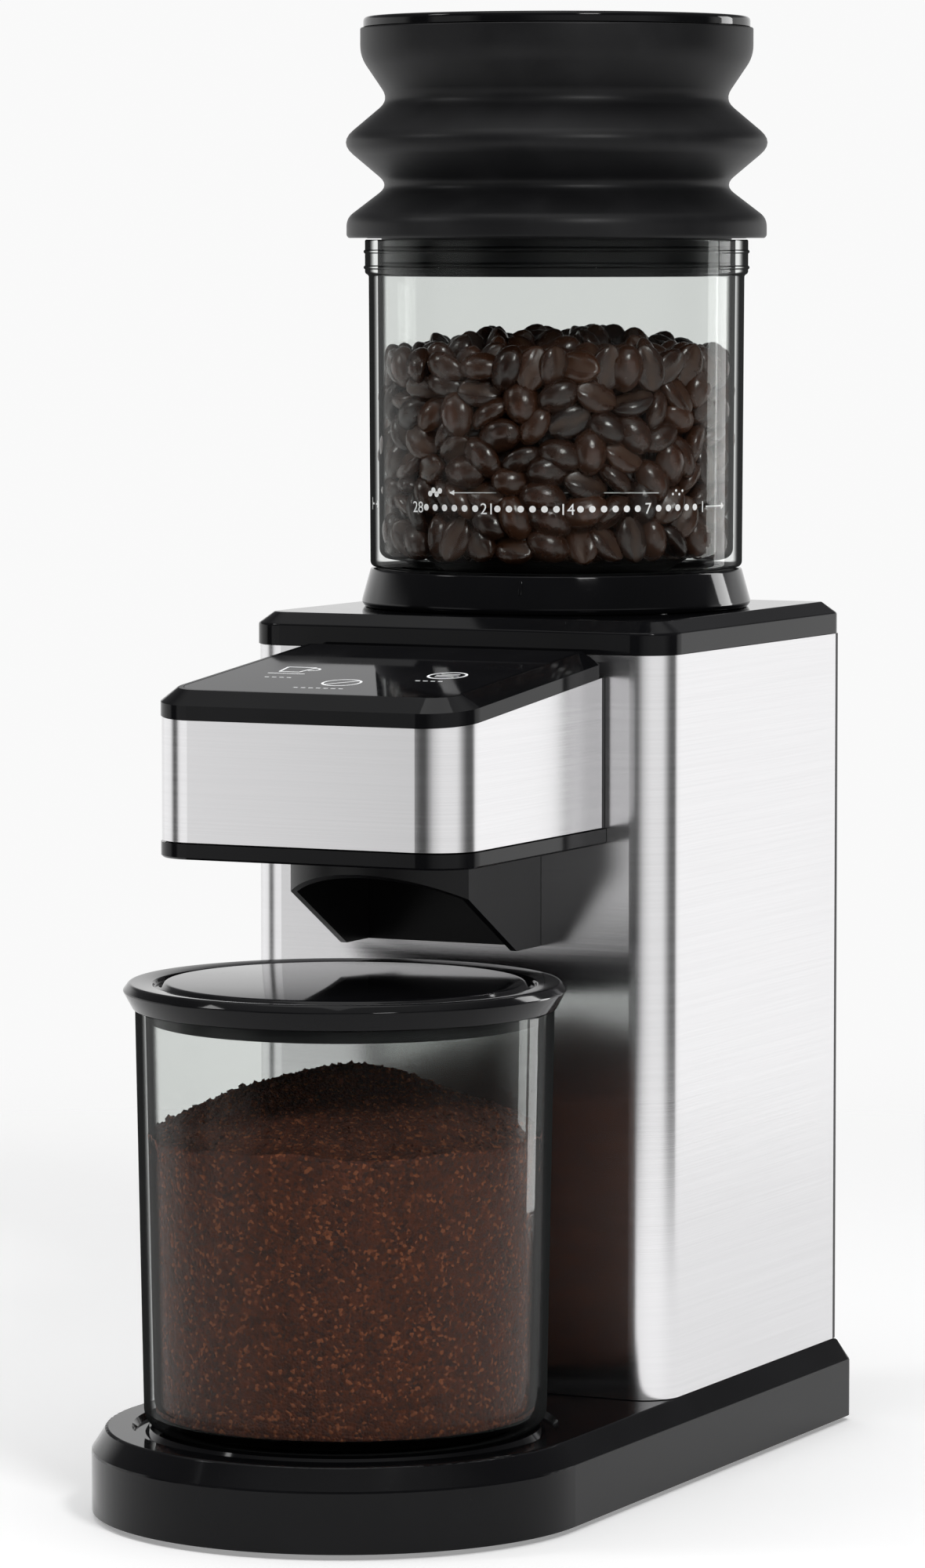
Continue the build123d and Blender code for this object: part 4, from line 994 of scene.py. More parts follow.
@dataclass
class Hopper:
    """Clear bean hopper with its printed grind scale."""

    centre: Point
    foot: float
    top: float
    funnel_foot: float
    radius: float = 50.0
    draft: float = 0.4
    wall: float = 2.4
    floor: float = 2.2
    rim_step: float = 1.0
    rim_height: float = 9.5
    ribs: Point = (1.6, 5.8)
    ledge: float = 43.0
    throat: float = 21.0
    throat_wall: float = 2.0
    funnel_drop: float = 14.0
    scale_z: float = 251.3
    zero_angle: float = 14.4
    zero_mark: int = 18
    pitch_angle: float = 3.6
    settings: int = 28
    numbered_every: int = 7
    digit_height: float = 2.9
    dot_radius: float = 0.88
    print_lift: float = 0.05
    print_stroke: float = 0.45
    sign_height: float = 4.0
    sign_stroke: float = 0.22
    lock_angle: float = -49.0
    lock_stroke: float = 0.5

    def build(self) -> bpy.types.Object:
        """Turns the clear moulding: wall, ribbed rim, funnel and throat.

        Returns:
            The moulding.
        """
        foot, top, low = self.foot, self.top, self.radius - self.draft
        shoulder = top - self.rim_height
        rim = self.radius + self.rim_step
        out = self.throat + self.throat_wall
        corners = [
            Corner(out, self.funnel_foot, 0.4),
            Corner(out, foot - self.funnel_drop, 1.0),
            Corner(self.ledge, foot - 2.6, 0.4),
            Corner(self.ledge, foot, 0.3),
            Corner(low - 0.8, foot, 0.7),
            Corner(low, foot + 0.8, 0.7),
            Corner(self.radius, shoulder, 0.5),
            Corner(rim, shoulder + 0.6, 0.5),
        ]
        for rib in self.ribs:
            z = shoulder + rib
            corners += [
                Corner(rim, z),
                Corner(rim + 0.35, z + 0.25, 0.2),
                Corner(rim + 0.35, z + 0.75, 0.2),
                Corner(rim, z + 1.0),
            ]
        inner = self.radius - self.wall
        corners += [
            Corner(rim, top, 0.5),
            Corner(inner, top, 0.5),
            Corner(inner, shoulder),
            Corner(low - self.wall, foot + self.floor + 1.5, 1.2),
            Corner(low - self.wall - 1.5, foot + self.floor, 0.9),
            Corner(self.ledge - 1.6, foot + self.floor, 0.8),
            Corner(self.throat, foot - self.funnel_drop + 1.5, 1.0),
            Corner(self.throat, self.funnel_foot, 0.4),
        ]
        glass = turned("hopper_clear_wall", corners, self.centre, Finishes.HOPPER, FINE_SEGMENTS)
        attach(glass, "hopper")
        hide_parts("hopper_glass")
        return glass

    def wrapped(self, name: str, sketch: Sketch, angle: float, z: float) -> bpy.types.Object:
        """Lays flat artwork on the outside of the wall.

        Args:
            name: The piece's name.
            sketch: The artwork, whose x runs round the wall.
            angle: Place of its origin, in degrees from the front towards the right.
            z: Height of its origin in millimetres.

        Returns:
            The object.
        """
        verts = []
        for x, y in sketch.verts:
            height = z + y
            share = (height - self.foot) / (self.top - self.foot)
            r = self.radius - self.draft * (1 - share) + self.print_lift
            turn = radians(angle) + x / self.radius
            verts.append(
                (self.centre[0] + r * MM * sin(turn), self.centre[1] - r * MM * cos(turn), height * MM)
            )
        piece = mesh_piece(name, np.array(verts), sketch.faces, Finishes.INK)
        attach(piece, "hopper")
        return piece

    def place_of(self, number: int) -> float:
        """Place of a number of the grind scale round the wall, in millimetres from the front."""
        return radians(self.zero_angle + (self.zero_mark - number) * self.pitch_angle) * self.radius

    def print_scale(self) -> list[bpy.types.Object]:
        """Prints the grind scale, the signs above it and the lock's arrow.

        Returns:
            The three prints.
        """
        return [
            self.wrapped("grind_scale_print", self._scale(), 0.0, self.scale_z),
            self.wrapped("grain_size_print", self._signs(), 0.0, self.scale_z),
            self.wrapped("lock_arrow_print", self._lock(), self.lock_angle, self.scale_z),
        ]

    def _scale(self) -> Sketch:
        """Draws the numbers, the dots between them and the arrow past the finest setting.

        Returns:
            The scale.
        """
        scale = Sketch()
        for number in range(1, self.settings + 1):
            x = self.place_of(number)
            if number == 1 or number % self.numbered_every == 0:
                scale.digits(str(number), (x, 0.0), self.digit_height)
            else:
                scale.disc((x, 0.0), self.dot_radius)
        end = self.place_of(1)
        scale.bar((end + 1.4, 0.0), (end + 9.0, 0.0), self.print_stroke)
        scale.polygon([(end + 8.8, -1.0), (end + 10.6, 0.0), (end + 8.8, 1.0)])
        return scale

    def _signs(self) -> Sketch:
        """Draws coarse grains, fine grains and the arrow from the fine to the coarse end.

        Returns:
            The signs.
        """
        signs = Sketch()
        coarse, fine = (26, 0.75), (4, 0.34)
        grains = ((-1.7, 3.6), (-0.6, 4.5), (0.5, 3.5), (1.6, 4.4))
        for number, size in (coarse, fine):
            x = self.place_of(number)
            for dx, y in grains:
                signs.disc((x + dx, y), size)
        tail, tip, y = self.place_of(6), self.place_of(24), self.sign_height
        signs.bar((tip, y), (tail, y), self.sign_stroke)
        signs.polygon([(tip, y + 0.7), (tip, y - 0.7), (tip - 1.6, y)])
        return signs

    def _lock(self) -> Sketch:
        """Draws an arrow with a stop at its tail.

        Returns:
            The arrow.
        """
        arrow = Sketch()
        arrow.bar((-3.2, 0.0), (1.6, 0.0), self.lock_stroke)
        arrow.polygon([(1.4, -1.1), (3.4, 0.0), (1.4, 1.1)])
        arrow.bar((-3.8, -1.6), (-3.8, 1.6), self.lock_stroke)
        return arrow


@dataclass
class Beans:
    """Roasted beans that lie against the hopper's wall, packed by relaxation from a fixed seed."""

    centre: Point
    foot: float
    reach: float = 47.1
    core: float = 32.0
    fill: float = 50.5
    heap: float = 6.0
    count: int = 640
    seed: int = 7
    half_length: float = 6.5
    half_width: float = 4.8
    half_height: float = 3.4
    settle_steps: int = 140
    sink_steps: int = 110
    sink: float = 0.06
    ease: float = 0.42
    ball_spread: float = 1.15
    ball_share: float = 0.94
    core_gap: float = 3.0
    wall_gap: float = 4.0
    low_start: float = 3.0
    over_fill: float = 4.0
    top_share: float = 0.2
    top_gap: float = 4.0
    top_heights: Point = (-2.0, 5.0)
    wall_bias: float = 0.75
    tilt: float = 0.8
    face_wall: float = 0.9
    neighbours: int = 260
    floor_gap: float = 0.2
    core_cover: float = 6.0
    soft_edge: float = 75.0
    rings: int = 11
    sides: int = 18
    underside: float = 0.52
    seam_width: float = 0.17
    seam_depth: float = 0.24
    seam_sway: float = 0.09
    seam_waves: float = 3.0
    seam_fade: int = 6
    taper: float = 0.05
    plump: float = 1.25
    shades: Point = (0.45, 0.22)
    sizes: Point = (0.9, 1.04)

    def pack(self) -> tuple[np.ndarray, np.ndarray]:
        """Settles the beans.

        Returns:
            Middle of each bean in millimetres from the hopper's foot axis, and its three axes.
        """
        rng = np.random.default_rng(self.seed)
        n = self.count
        turn = rng.uniform(0, 2 * pi, n)
        near, far = self.core + self.core_gap, self.reach - self.wall_gap
        r = np.sqrt(rng.uniform(near**2, far**2, n))
        shallow = rng.uniform(0, 1, n)
        z = self.low_start + shallow * (self.fill + self.over_fill)
        spot = np.stack([r * np.cos(turn), r * np.sin(turn), z], 1)
        top = rng.uniform(0, 1, n) < self.top_share
        r_top = np.sqrt(rng.uniform(0, (self.core + self.top_gap) ** 2, n))
        spot[top, 0] = (r_top * np.cos(turn))[top]
        spot[top, 1] = (r_top * np.sin(turn))[top]
        spot[top, 2] = self.fill + rng.uniform(*self.top_heights, n)[top]
        axes = self._axes(rng, spot, n)
        balls = np.array([-0.5, 0.0, 0.5]) * self.half_length * self.ball_spread
        size = (self.half_width + self.half_height) / 2 * self.ball_share
        for step in range(self.settle_steps):
            centres = spot[:, None, :] + balls[None, :, None] * axes[:, None, 0, :]
            push = self._repel(centres.reshape(-1, 3), size, n)
            spot += self.ease * push
            spot[:, 2] -= self.sink if step < self.sink_steps else 0.0
            self._contain(spot, axes)
        return spot, axes

    def _axes(self, rng: np.random.Generator, spot: np.ndarray, n: int) -> np.ndarray:
        """Turns each bean at random, more often with its length along the wall.

        Args:
            rng: Source of the random draws.
            spot: Middle of each bean.
            n: Number of beans.

        Returns:
            Length, width and height direction of each bean.
        """
        along = rng.normal(size=(n, 3))
        out = spot.copy()
        out[:, 2] = 0
        out /= np.maximum(np.linalg.norm(out, axis=1, keepdims=True), TINY)
        along -= self.wall_bias * (along * out).sum(1, keepdims=True) * out
        along /= np.linalg.norm(along, axis=1, keepdims=True)
        third = self.tilt * rng.normal(size=(n, 3))
        third += self.face_wall * rng.choice([-1, 1], (n, 1)) * out
        third -= (third * along).sum(1, keepdims=True) * along
        third /= np.linalg.norm(third, axis=1, keepdims=True)
        return np.stack([along, np.cross(third, along), third], 1)

    def _repel(self, balls: np.ndarray, size: float, n: int) -> np.ndarray:
        """Push on each bean from the balls of the others that it overlaps.

        Args:
            balls: Middle of each ball, three to a bean in turn.
            size: Radius of a ball.
            n: Number of beans.

        Returns:
            The push on each bean.
        """
        owner = np.repeat(np.arange(n), 3)
        push = np.zeros((n, 3))
        order = np.argsort(balls[:, 2])
        placed = balls[order]
        who = owner[order]
        for shift in range(1, self.neighbours):
            gap = placed[shift:] - placed[:-shift]
            far = np.linalg.norm(gap, axis=1)
            touch = (far < 2 * size) & (who[shift:] != who[:-shift])
            if not touch.any():
                if (gap[:, 2] > 2 * size).all():
                    break
                continue
            move = gap[touch] * ((2 * size - far[touch]) / np.maximum(far[touch], TINY) / 2)[:, None]
            np.add.at(push, who[shift:][touch], move / 2)
            np.add.at(push, who[:-shift][touch], -move / 2)
        return push

    def _contain(self, spot: np.ndarray, axes: np.ndarray) -> None:
        """Holds the beans inside the wall, round the core and under the heap's surface.

        Args:
            spot: Middle of each bean, moved in place.
            axes: Length, width and height direction of each bean.
        """
        extent = np.sqrt(
            (axes[:, 0] * self.half_length) ** 2
            + (axes[:, 1] * self.half_width) ** 2
            + (axes[:, 2] * self.half_height) ** 2
        )
        r = np.hypot(spot[:, 0], spot[:, 1])
        out = spot[:, :2] / np.maximum(r, TINY)[:, None]
        radial = np.sqrt(
            sum(
                ((axes[:, k, :2] * out).sum(1) * h) ** 2
                for k, h in enumerate((self.half_length, self.half_width, self.half_height))
            )
        )
        limit = self.reach - radial
        over = r > limit
        spot[over, :2] *= (limit / np.maximum(r, TINY))[over, None]
        low = extent[:, 2] + self.floor_gap
        spot[:, 2] = np.maximum(spot[:, 2], low)
        surface = self.fill + self.heap * (1 - (r / self.reach) ** 2)
        spot[:, 2] = np.minimum(spot[:, 2], surface)
        inside = (r < self.core) & (spot[:, 2] < self.fill - self.core_cover)
        spot[inside, :2] *= (self.core / np.maximum(r, TINY))[inside, None]

    def shape(self) -> tuple[np.ndarray, list[list[int]], np.ndarray]:
        """One bean.

        Returns:
            Points in millimetres, faces, and how deep each point lies in the seam.
        """
        rings, sides = self.rings, self.sides
        verts = [(-1.0, 0.0, 0.0)]
        for i in range(1, rings):
            a = pi * i / rings
            for j in range(sides):
                b = 2 * pi * j / sides
                verts.append((-cos(a), sin(a) * cos(b), sin(a) * sin(b)))
        verts.append((1.0, 0.0, 0.0))
        v = np.array(verts)
        faces = [[0, 1 + (j + 1) % sides, 1 + j] for j in range(sides)]
        for i in range(rings - 2):
            row = 1 + i * sides
            for j in range(sides):
                k = (j + 1) % sides
                faces.append([row + j, row + k, row + sides + k, row + sides + j])
        last = 1 + (rings - 2) * sides
        faces += [[last + j, last + (j + 1) % sides, len(v) - 1] for j in range(sides)]
        flat = v[:, 2] < 0
        v[flat, 2] *= self.underside
        line = v[:, 1] - self.seam_sway * np.sin(self.seam_waves * v[:, 0])
        fade = 1 - np.abs(v[:, 0]) ** self.seam_fade
        seam = np.exp(-((line / self.seam_width) ** 2)) * fade
        crease = np.where(flat, seam, 0.0)
        v[:, 2] += self.seam_depth * crease
        v[:, 0] *= 1 - self.taper * np.abs(v[:, 1])
        v *= np.array([self.half_length, self.half_width, self.half_height * self.plump])
        return v, faces, crease

    def build(self) -> list[bpy.types.Object]:
        """Makes the beans as three pieces by height, and the dark mass of painted shade behind them.

        Returns:
            The four pieces.
        """
        spot, axes = self.pack()
        shape, faces, crease = self.shape()
        rng = np.random.default_rng(self.seed + 1)
        shade = np.clip(rng.normal(*self.shades, self.count), 0, 1)
        size = rng.uniform(*self.sizes, self.count)
        order = np.argsort(spot[:, 2])
        made = []
        names = ("beans_low", "beans_middle", "beans_top")
        for name, group in zip(names, np.array_split(order, len(names))):
            verts = [spot[b] + size[b] * shape @ axes[b] for b in group]
            points = np.concatenate(verts) * MM
            points += np.array([*self.centre, self.foot * MM])
            all_faces = [[i + k * len(shape) for i in f] for k in range(len(group)) for f in faces]
            piece = mesh_piece(name, points, all_faces, Finishes.BEAN, self.soft_edge)
            layers = {
                "shade": np.repeat(shade[group], len(shape)),
                "crease": np.tile(crease, len(group)),
            }
            for key, values in layers.items():
                layer = piece.data.attributes.new(key, "FLOAT", "POINT")
                layer.data.foreach_set("value", values.astype(np.float32))
            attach(piece, "hopper")
            made.append(piece)
        made.append(self._filling())
        return made

    def _filling(self) -> bpy.types.Object:
        """A dark mass of painted shade, standing for the shadowed gaps between the outer beans in place
        of the rest of the beans.

        Returns:
            The filling.
        """
        top = self.foot + self.fill - 4
        corners = [
            Corner(0, self.foot - 9.0),
            Corner(20.0, self.foot - 9.0),
            Corner(36.0, self.foot + 0.5),
            Corner(37.5, self.foot + 2.0, 2),
            Corner(37.5, top - 5, 4),
            Corner(28.0, top, 6),
            Corner(0, top + 3),
        ]
        piece = turned("beans_painted_shade", corners, self.centre, Finishes.FILLING, 96)
        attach(piece, "hopper")
        return piece


@dataclass
class BellowsLid:
    """Stopper, its two seals, the silicone bellows and the gloss disc on top."""

    centre: Point
    foot: float
    hopper_radius: float = 50.0
    hopper_wall: float = 2.4
    plug_depth: float = 10.0
    plug_wall: float = 2.0
    ring_radius: float = 55.9
    ring_height: float = 5.3
    valley_radius: float = 45.2
    peak_radius: float = 56.4
    band_radius: float = 52.2
    band_height: float = 7.6
    pitch: float = 22.6
    wall: float = 2.2
    disc_height: float = 2.8
    stroke: float = 24.0

    def build(self) -> list[bpy.types.Object]:
        """Makes the four pieces of the lid."""
        return [self._plug(), self._seals(), self._bellows(), self._disc()]

    def _plug(self) -> bpy.types.Object:
        """Turns the stopper with its flange.

        Returns:
            The stopper.
        """
        z0, z1 = self.foot - self.plug_depth, self.foot + 2.2
        skirt = self.hopper_radius - self.hopper_wall - 1.0
        flange = self.hopper_radius + 0.5
        corners = [
            Corner(0, z0 + 1.0),
            Corner(skirt - 1, z0 + 1.0, 0.2),
            Corner(skirt - 1, z0, 0.2),
            Corner(skirt, z0, 0.3),
            Corner(skirt, self.foot),
            Corner(flange, self.foot, 0.2),
            Corner(flange, z1, 0.2),
            Corner(skirt - self.plug_wall, z1),
            Corner(skirt - self.plug_wall, z0 + 3.0, 0.6),
            Corner(0, z0 + 3.0),
        ]
        plug = turned("lid_stopper", corners, self.centre, Finishes.SATIN)
        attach(plug, "hopper_lid")
        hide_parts("lid_plug")
        return plug

    def _seals(self) -> bpy.types.Object:
        """Turns the two soft lips that grip the inside of the hopper.

        Returns:
            Both lips as one piece.
        """
        skirt = self.hopper_radius - self.hopper_wall - 1.0
        rings = []
        for z in (self.foot - 7.8, self.foot - 3.6):
            corners = [
                Corner(skirt - 0.5, z),
                Corner(skirt, z, 0.2),
                Corner(skirt + 0.85, z + 0.5, 0.3),
                Corner(skirt + 0.85, z + 1.1, 0.3),
                Corner(skirt, z + 1.6, 0.2),
                Corner(skirt - 0.5, z + 1.6),
            ]
            rings.append(turned("lid_seal_ring", corners, self.centre, Finishes.SILICONE))
        seals = joined("lid_seal_rings", rings)
        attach(seals, "hopper_lid")
        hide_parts("lid_seals")
        return seals

    def _bellows(self) -> bpy.types.Object:
        """Turns the silicone bellows: foot ring, two folds and the upper band.

        Returns:
            The bellows.
        """
        foot = self.foot + 0.1
        ring_top = foot + self.ring_height
        low = ring_top + 8.7
        peak, high = low + self.pitch / 2, low + self.pitch
        band = high + 11.4
        top = band + self.band_height
        t, v = self.wall, self.valley_radius
        edge = self.hopper_radius + 0.6
        corners = [
            Corner(self.ring_radius - 0.6, foot, 0.3),
            Corner(self.ring_radius, foot + 0.6, 0.5),
            Corner(self.ring_radius, ring_top, 2.2),
            Corner(v - 0.7, low, 3.4),
            Corner(self.peak_radius + 1.55, peak, 5.0),
            Corner(v - 0.7, high, 3.4),
            Corner(self.band_radius, band, 3.0),
            Corner(self.band_radius, top, 0.5),
            Corner(self.band_radius - t - 1.5, top),
            Corner(self.band_radius - t - 1.5, band + 1.5),
            Corner(v - t, high, 1.5),
            Corner(self.peak_radius - 2 * t, peak, 1.5),
            Corner(v - t, low, 1.5),
            Corner(v - t, foot + 2.2),
            Corner(edge, foot + 2.2),
            Corner(edge, foot),
        ]
        bellows = turned("lid_bellows", corners, self.centre, Finishes.SILICONE, FINE_SEGMENTS)
        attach(bellows, "hopper_lid")
        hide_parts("bellows")
        keep = 1 - self.stroke / (top - foot)
        foot * MM
        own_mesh(bellows)
        self.top = top
        return bellows

    def _disc(self) -> bpy.types.Object:
        """Turns the glossy disc that is pressed to pump the bellows.

        Returns:
            The disc.
        """
        z0 = self.top + 0.1
        z1 = z0 + self.disc_height
        r = self.band_radius - 0.8
        spigot = self.band_radius - self.wall - 1.6
        corners = [
            Corner(0, z0),
            Corner(spigot - 2.4, z0),
            Corner(spigot - 2.4, z0 - 3.9),
            Corner(spigot - 0.1, z0 - 3.9, 0.4),
            Corner(spigot - 0.1, z0),
            Corner(r, z0, 0.3),
            Corner(r, z1, 1.3),
            Corner(0, z1),
        ]
        disc = turned("lid_press_disc", corners, self.centre, Finishes.GLOSS)
        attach(disc, "lid_button")
        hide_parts("bellows_cap")
        return disc


@dataclass
class Jar:
    """Clear jar for the ground coffee, with its gloss lid and soft seal."""

    centre: Point
    foot: float
    radius: float = 52.8
    draft: float = 1.9
    height: float = 105.8
    wall: float = 2.6
    floor: float = 3.6
    overhang: float = 3.1
    rim: float = 7.4
    groove: float = 3.2
    skirt: float = 3.6

    def build(self) -> list[bpy.types.Object]:
        """Makes the jar, its lid and its seal."""
        return [self._glass(), self._lid(), self._seal()]

    def _glass(self) -> bpy.types.Object:
        """Turns the tapered clear wall with its thick foot.

        Returns:
            The jar.
        """
        z0, z1 = self.foot, self.foot + self.height
        low = self.radius - self.draft
        corners = [
            Corner(0, z0 + 0.6),
            Corner(low - 8, z0 + 0.6, 0.6),
            Corner(low - 7.4, z0, 0.5),
            Corner(low - 2.4, z0, 1.6),
            Corner(low, z0 + 2.6, 2.2),
            Corner(self.radius, z1, 0.5),
            Corner(self.radius - self.wall, z1, 0.5),
            Corner(low - self.wall, z0 + self.floor, 3.4),
            Corner(0, z0 + self.floor),
        ]
        glass = turned("jar_clear_wall", corners, self.centre, Finishes.JAR, FINE_SEGMENTS)
        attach(glass, "jar_body")
        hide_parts("jar")
        return glass

    def _lid(self) -> bpy.types.Object:
        """Turns the gloss lid with a sharp overhanging rim, a groove and a middle disc.

        Returns:
            The lid.
        """
        z0 = self.foot + self.height + 0.1
        top = z0 + 6.6
        inner = self.radius - self.wall
        r = self.radius + self.overhang
        groove = r - self.rim
        disc = groove - self.groove
        corners = [
            Corner(0, z0 + 3.8),
            Corner(inner - 4.0, z0 + 3.8, 0.5),
            Corner(inner - 4.0, z0 - self.skirt, 0.2),
            Corner(inner - 1.6, z0 - self.skirt, 0.2),
            Corner(inner - 1.6, z0),
            Corner(self.radius + 0.6, z0, 0.4),
            Corner(r, z0 + 4.6, 0.35),
            Corner(r - 1.5, top, 0.7),
            Corner(groove, top - 0.5, 0.3),
            Corner(groove - 0.5, top - 1.5, 0.3),
            Corner(disc + 1.2, top - 1.5, 0.5),
            Corner(disc, top - 0.1, 0.5),
            Corner(disc - 1.0, top),
            Corner(0, top),
        ]
        lid = turned("jar_gloss_lid", corners, self.centre, Finishes.GLOSS, FINE_SEGMENTS)
        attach(lid, "jar_cover")
        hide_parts("jar_lid")
        return lid

    def _seal(self) -> bpy.types.Object:
        """Turns the soft ring round the lid's skirt.

        Returns:
            The ring.
        """
        inner = self.radius - self.wall
        z = self.foot + self.height + 0.1 - self.skirt
        corners = [
            Corner(inner - 1.6, z + 0.3),
            Corner(inner - 0.5, z + 0.3, 0.3),
            Corner(inner - 0.35, z + 1.8, 0.5),
            Corner(inner - 0.5, z + 3.3, 0.3),
            Corner(inner - 1.6, z + 3.3),
        ]
        seal = turned("jar_seal_ring", corners, self.centre, Finishes.SILICONE)
        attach(seal, "jar_cover")
        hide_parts("jar_seal")
        return seal


@dataclass
class Grounds:
    """Mound of ground coffee in the jar, with loose crumbs on it."""

    centre: Point
    foot: float
    foot_radius: float = 48.0
    top_radius: float = 49.7
    edge: float = 97.0
    peak: float = 113.5
    rings: int = 120
    sides: int = 300
    side_steps: int = 60
    roughness: float = 0.22
    pitting: float = 1.6
    tip_share: float = 0.004
    foot_rings: int = 5
    foot_span: float = 5.2
    dome_power: float = 1.45
    dome_round: float = 1.05
    long_swell: float = 0.8
    short_swell: float = 0.4
    crumbs: int = 1500
    crumb_gap: float = 1.0
    crumb_sizes: Point = (4.0, 0.085)
    crumb_sides: Point = (0.55, 1.1)
    crumb_rise: float = 0.35
    seed: int = 11

    def surface(self, r: np.ndarray, turn: np.ndarray) -> np.ndarray:
        """Height of the mound.

        Args:
            r: Distances from the jar's axis in millimetres.
            turn: Angles round it.

        Returns:
            Heights in millimetres.
        """
        share = r / self.top_radius
        dome = (self.peak - self.edge) * (1 - share**self.dome_power) ** self.dome_round
        x, y = r * np.cos(turn), r * np.sin(turn)
        swell = self.long_swell * np.sin(0.11 * x + 1.1) * np.sin(0.13 * y + 0.4)
        swell = swell + self.short_swell * np.sin(0.31 * x - 0.23 * y)
        return self.edge + dome + swell

    def build(self) -> list[bpy.types.Object]:
        """Makes the mound and the crumbs.

        Returns:
            The two pieces.
        """
        rng = np.random.default_rng(self.seed)
        verts, faces = [], []
        turns = np.linspace(0, 2 * pi, self.sides, endpoint=False)
        shares = np.linspace(self.tip_share, 1, self.rings)
        rows = [(share * self.top_radius, None) for share in shares]
        for k in range(1, self.side_steps + 1):
            down = k / self.side_steps
            rows.append((self.top_radius + (self.foot_radius - self.top_radius) * down, down))
        for k in range(1, self.foot_rings + 1):
            rows.append((self.foot_radius * (1 - k / self.foot_span), 1.0))
        for r, down in rows:
            rough = rng.normal(0, self.roughness, self.sides)
            height = self.surface(np.full(self.sides, min(r, self.top_radius)), turns)
            if down is None:
                radius, z = np.full(self.sides, r), height + rough
            else:
                edge = self.surface(np.full(self.sides, self.top_radius), turns)
                radius = r - np.abs(rough) * self.pitting
                z = edge + (self.foot - edge) * down
            verts += list(zip(radius * np.cos(turns), radius * np.sin(turns), z))
        for i in range(len(rows) - 1):
            for j in range(self.sides):
                k = (j + 1) % self.sides
                a, b = i * self.sides, (i + 1) * self.sides
                faces.append([a + j, b + j, b + k, a + k])
        faces.append(list(range(self.sides)))
        faces.append(list(range(len(verts) - 1, len(verts) - 1 - self.sides, -1)))
        points = np.array(verts) * MM + np.array([*self.centre, 0.0])
        mound = mesh_piece("grounds_mound", points, faces, Finishes.GROUNDS, NO_CREASE)
        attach(mound, "jar_body")
        return [mound, self._crumbs(rng)]

    def _crumbs(self, rng: np.random.Generator) -> bpy.types.Object:
        """Strews loose crumbs over the mound, each an irregular small block.

        Args:
            rng: Source of the random draws.

        Returns:
            All the crumbs as one piece.
        """
        block = np.array([(x, y, z) for x in (-1, 1) for y in (-1, 1) for z in (-1, 1)], float)
        quads = [[0, 1, 3, 2], [4, 6, 7, 5], [0, 4, 5, 1], [2, 3, 7, 6], [0, 2, 6, 4], [1, 5, 7, 3]]
        verts, faces = [], []
        for index in range(self.crumbs):
            r = (self.top_radius - self.crumb_gap) * np.sqrt(rng.uniform(0, 1))
            turn = rng.uniform(0, 2 * pi)
            size = rng.gamma(*self.crumb_sizes)
            axes, _ = np.linalg.qr(rng.normal(size=(3, 3)))
            shape = (block * rng.uniform(*self.crumb_sides, block.shape) * size) @ axes
            z = float(self.surface(np.array([r]), np.array([turn]))[0]) + self.crumb_rise * size
            verts.append(shape + np.array([r * np.cos(turn), r * np.sin(turn), z]))
            faces += [[len(block) * index + i for i in q] for q in quads]
        points = np.concatenate(verts) * MM + np.array([*self.centre, 0.0])
        crumbs = mesh_piece("grounds_crumbs", points, faces, Finishes.GROUNDS)
        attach(crumbs, "jar_body")
        return crumbs


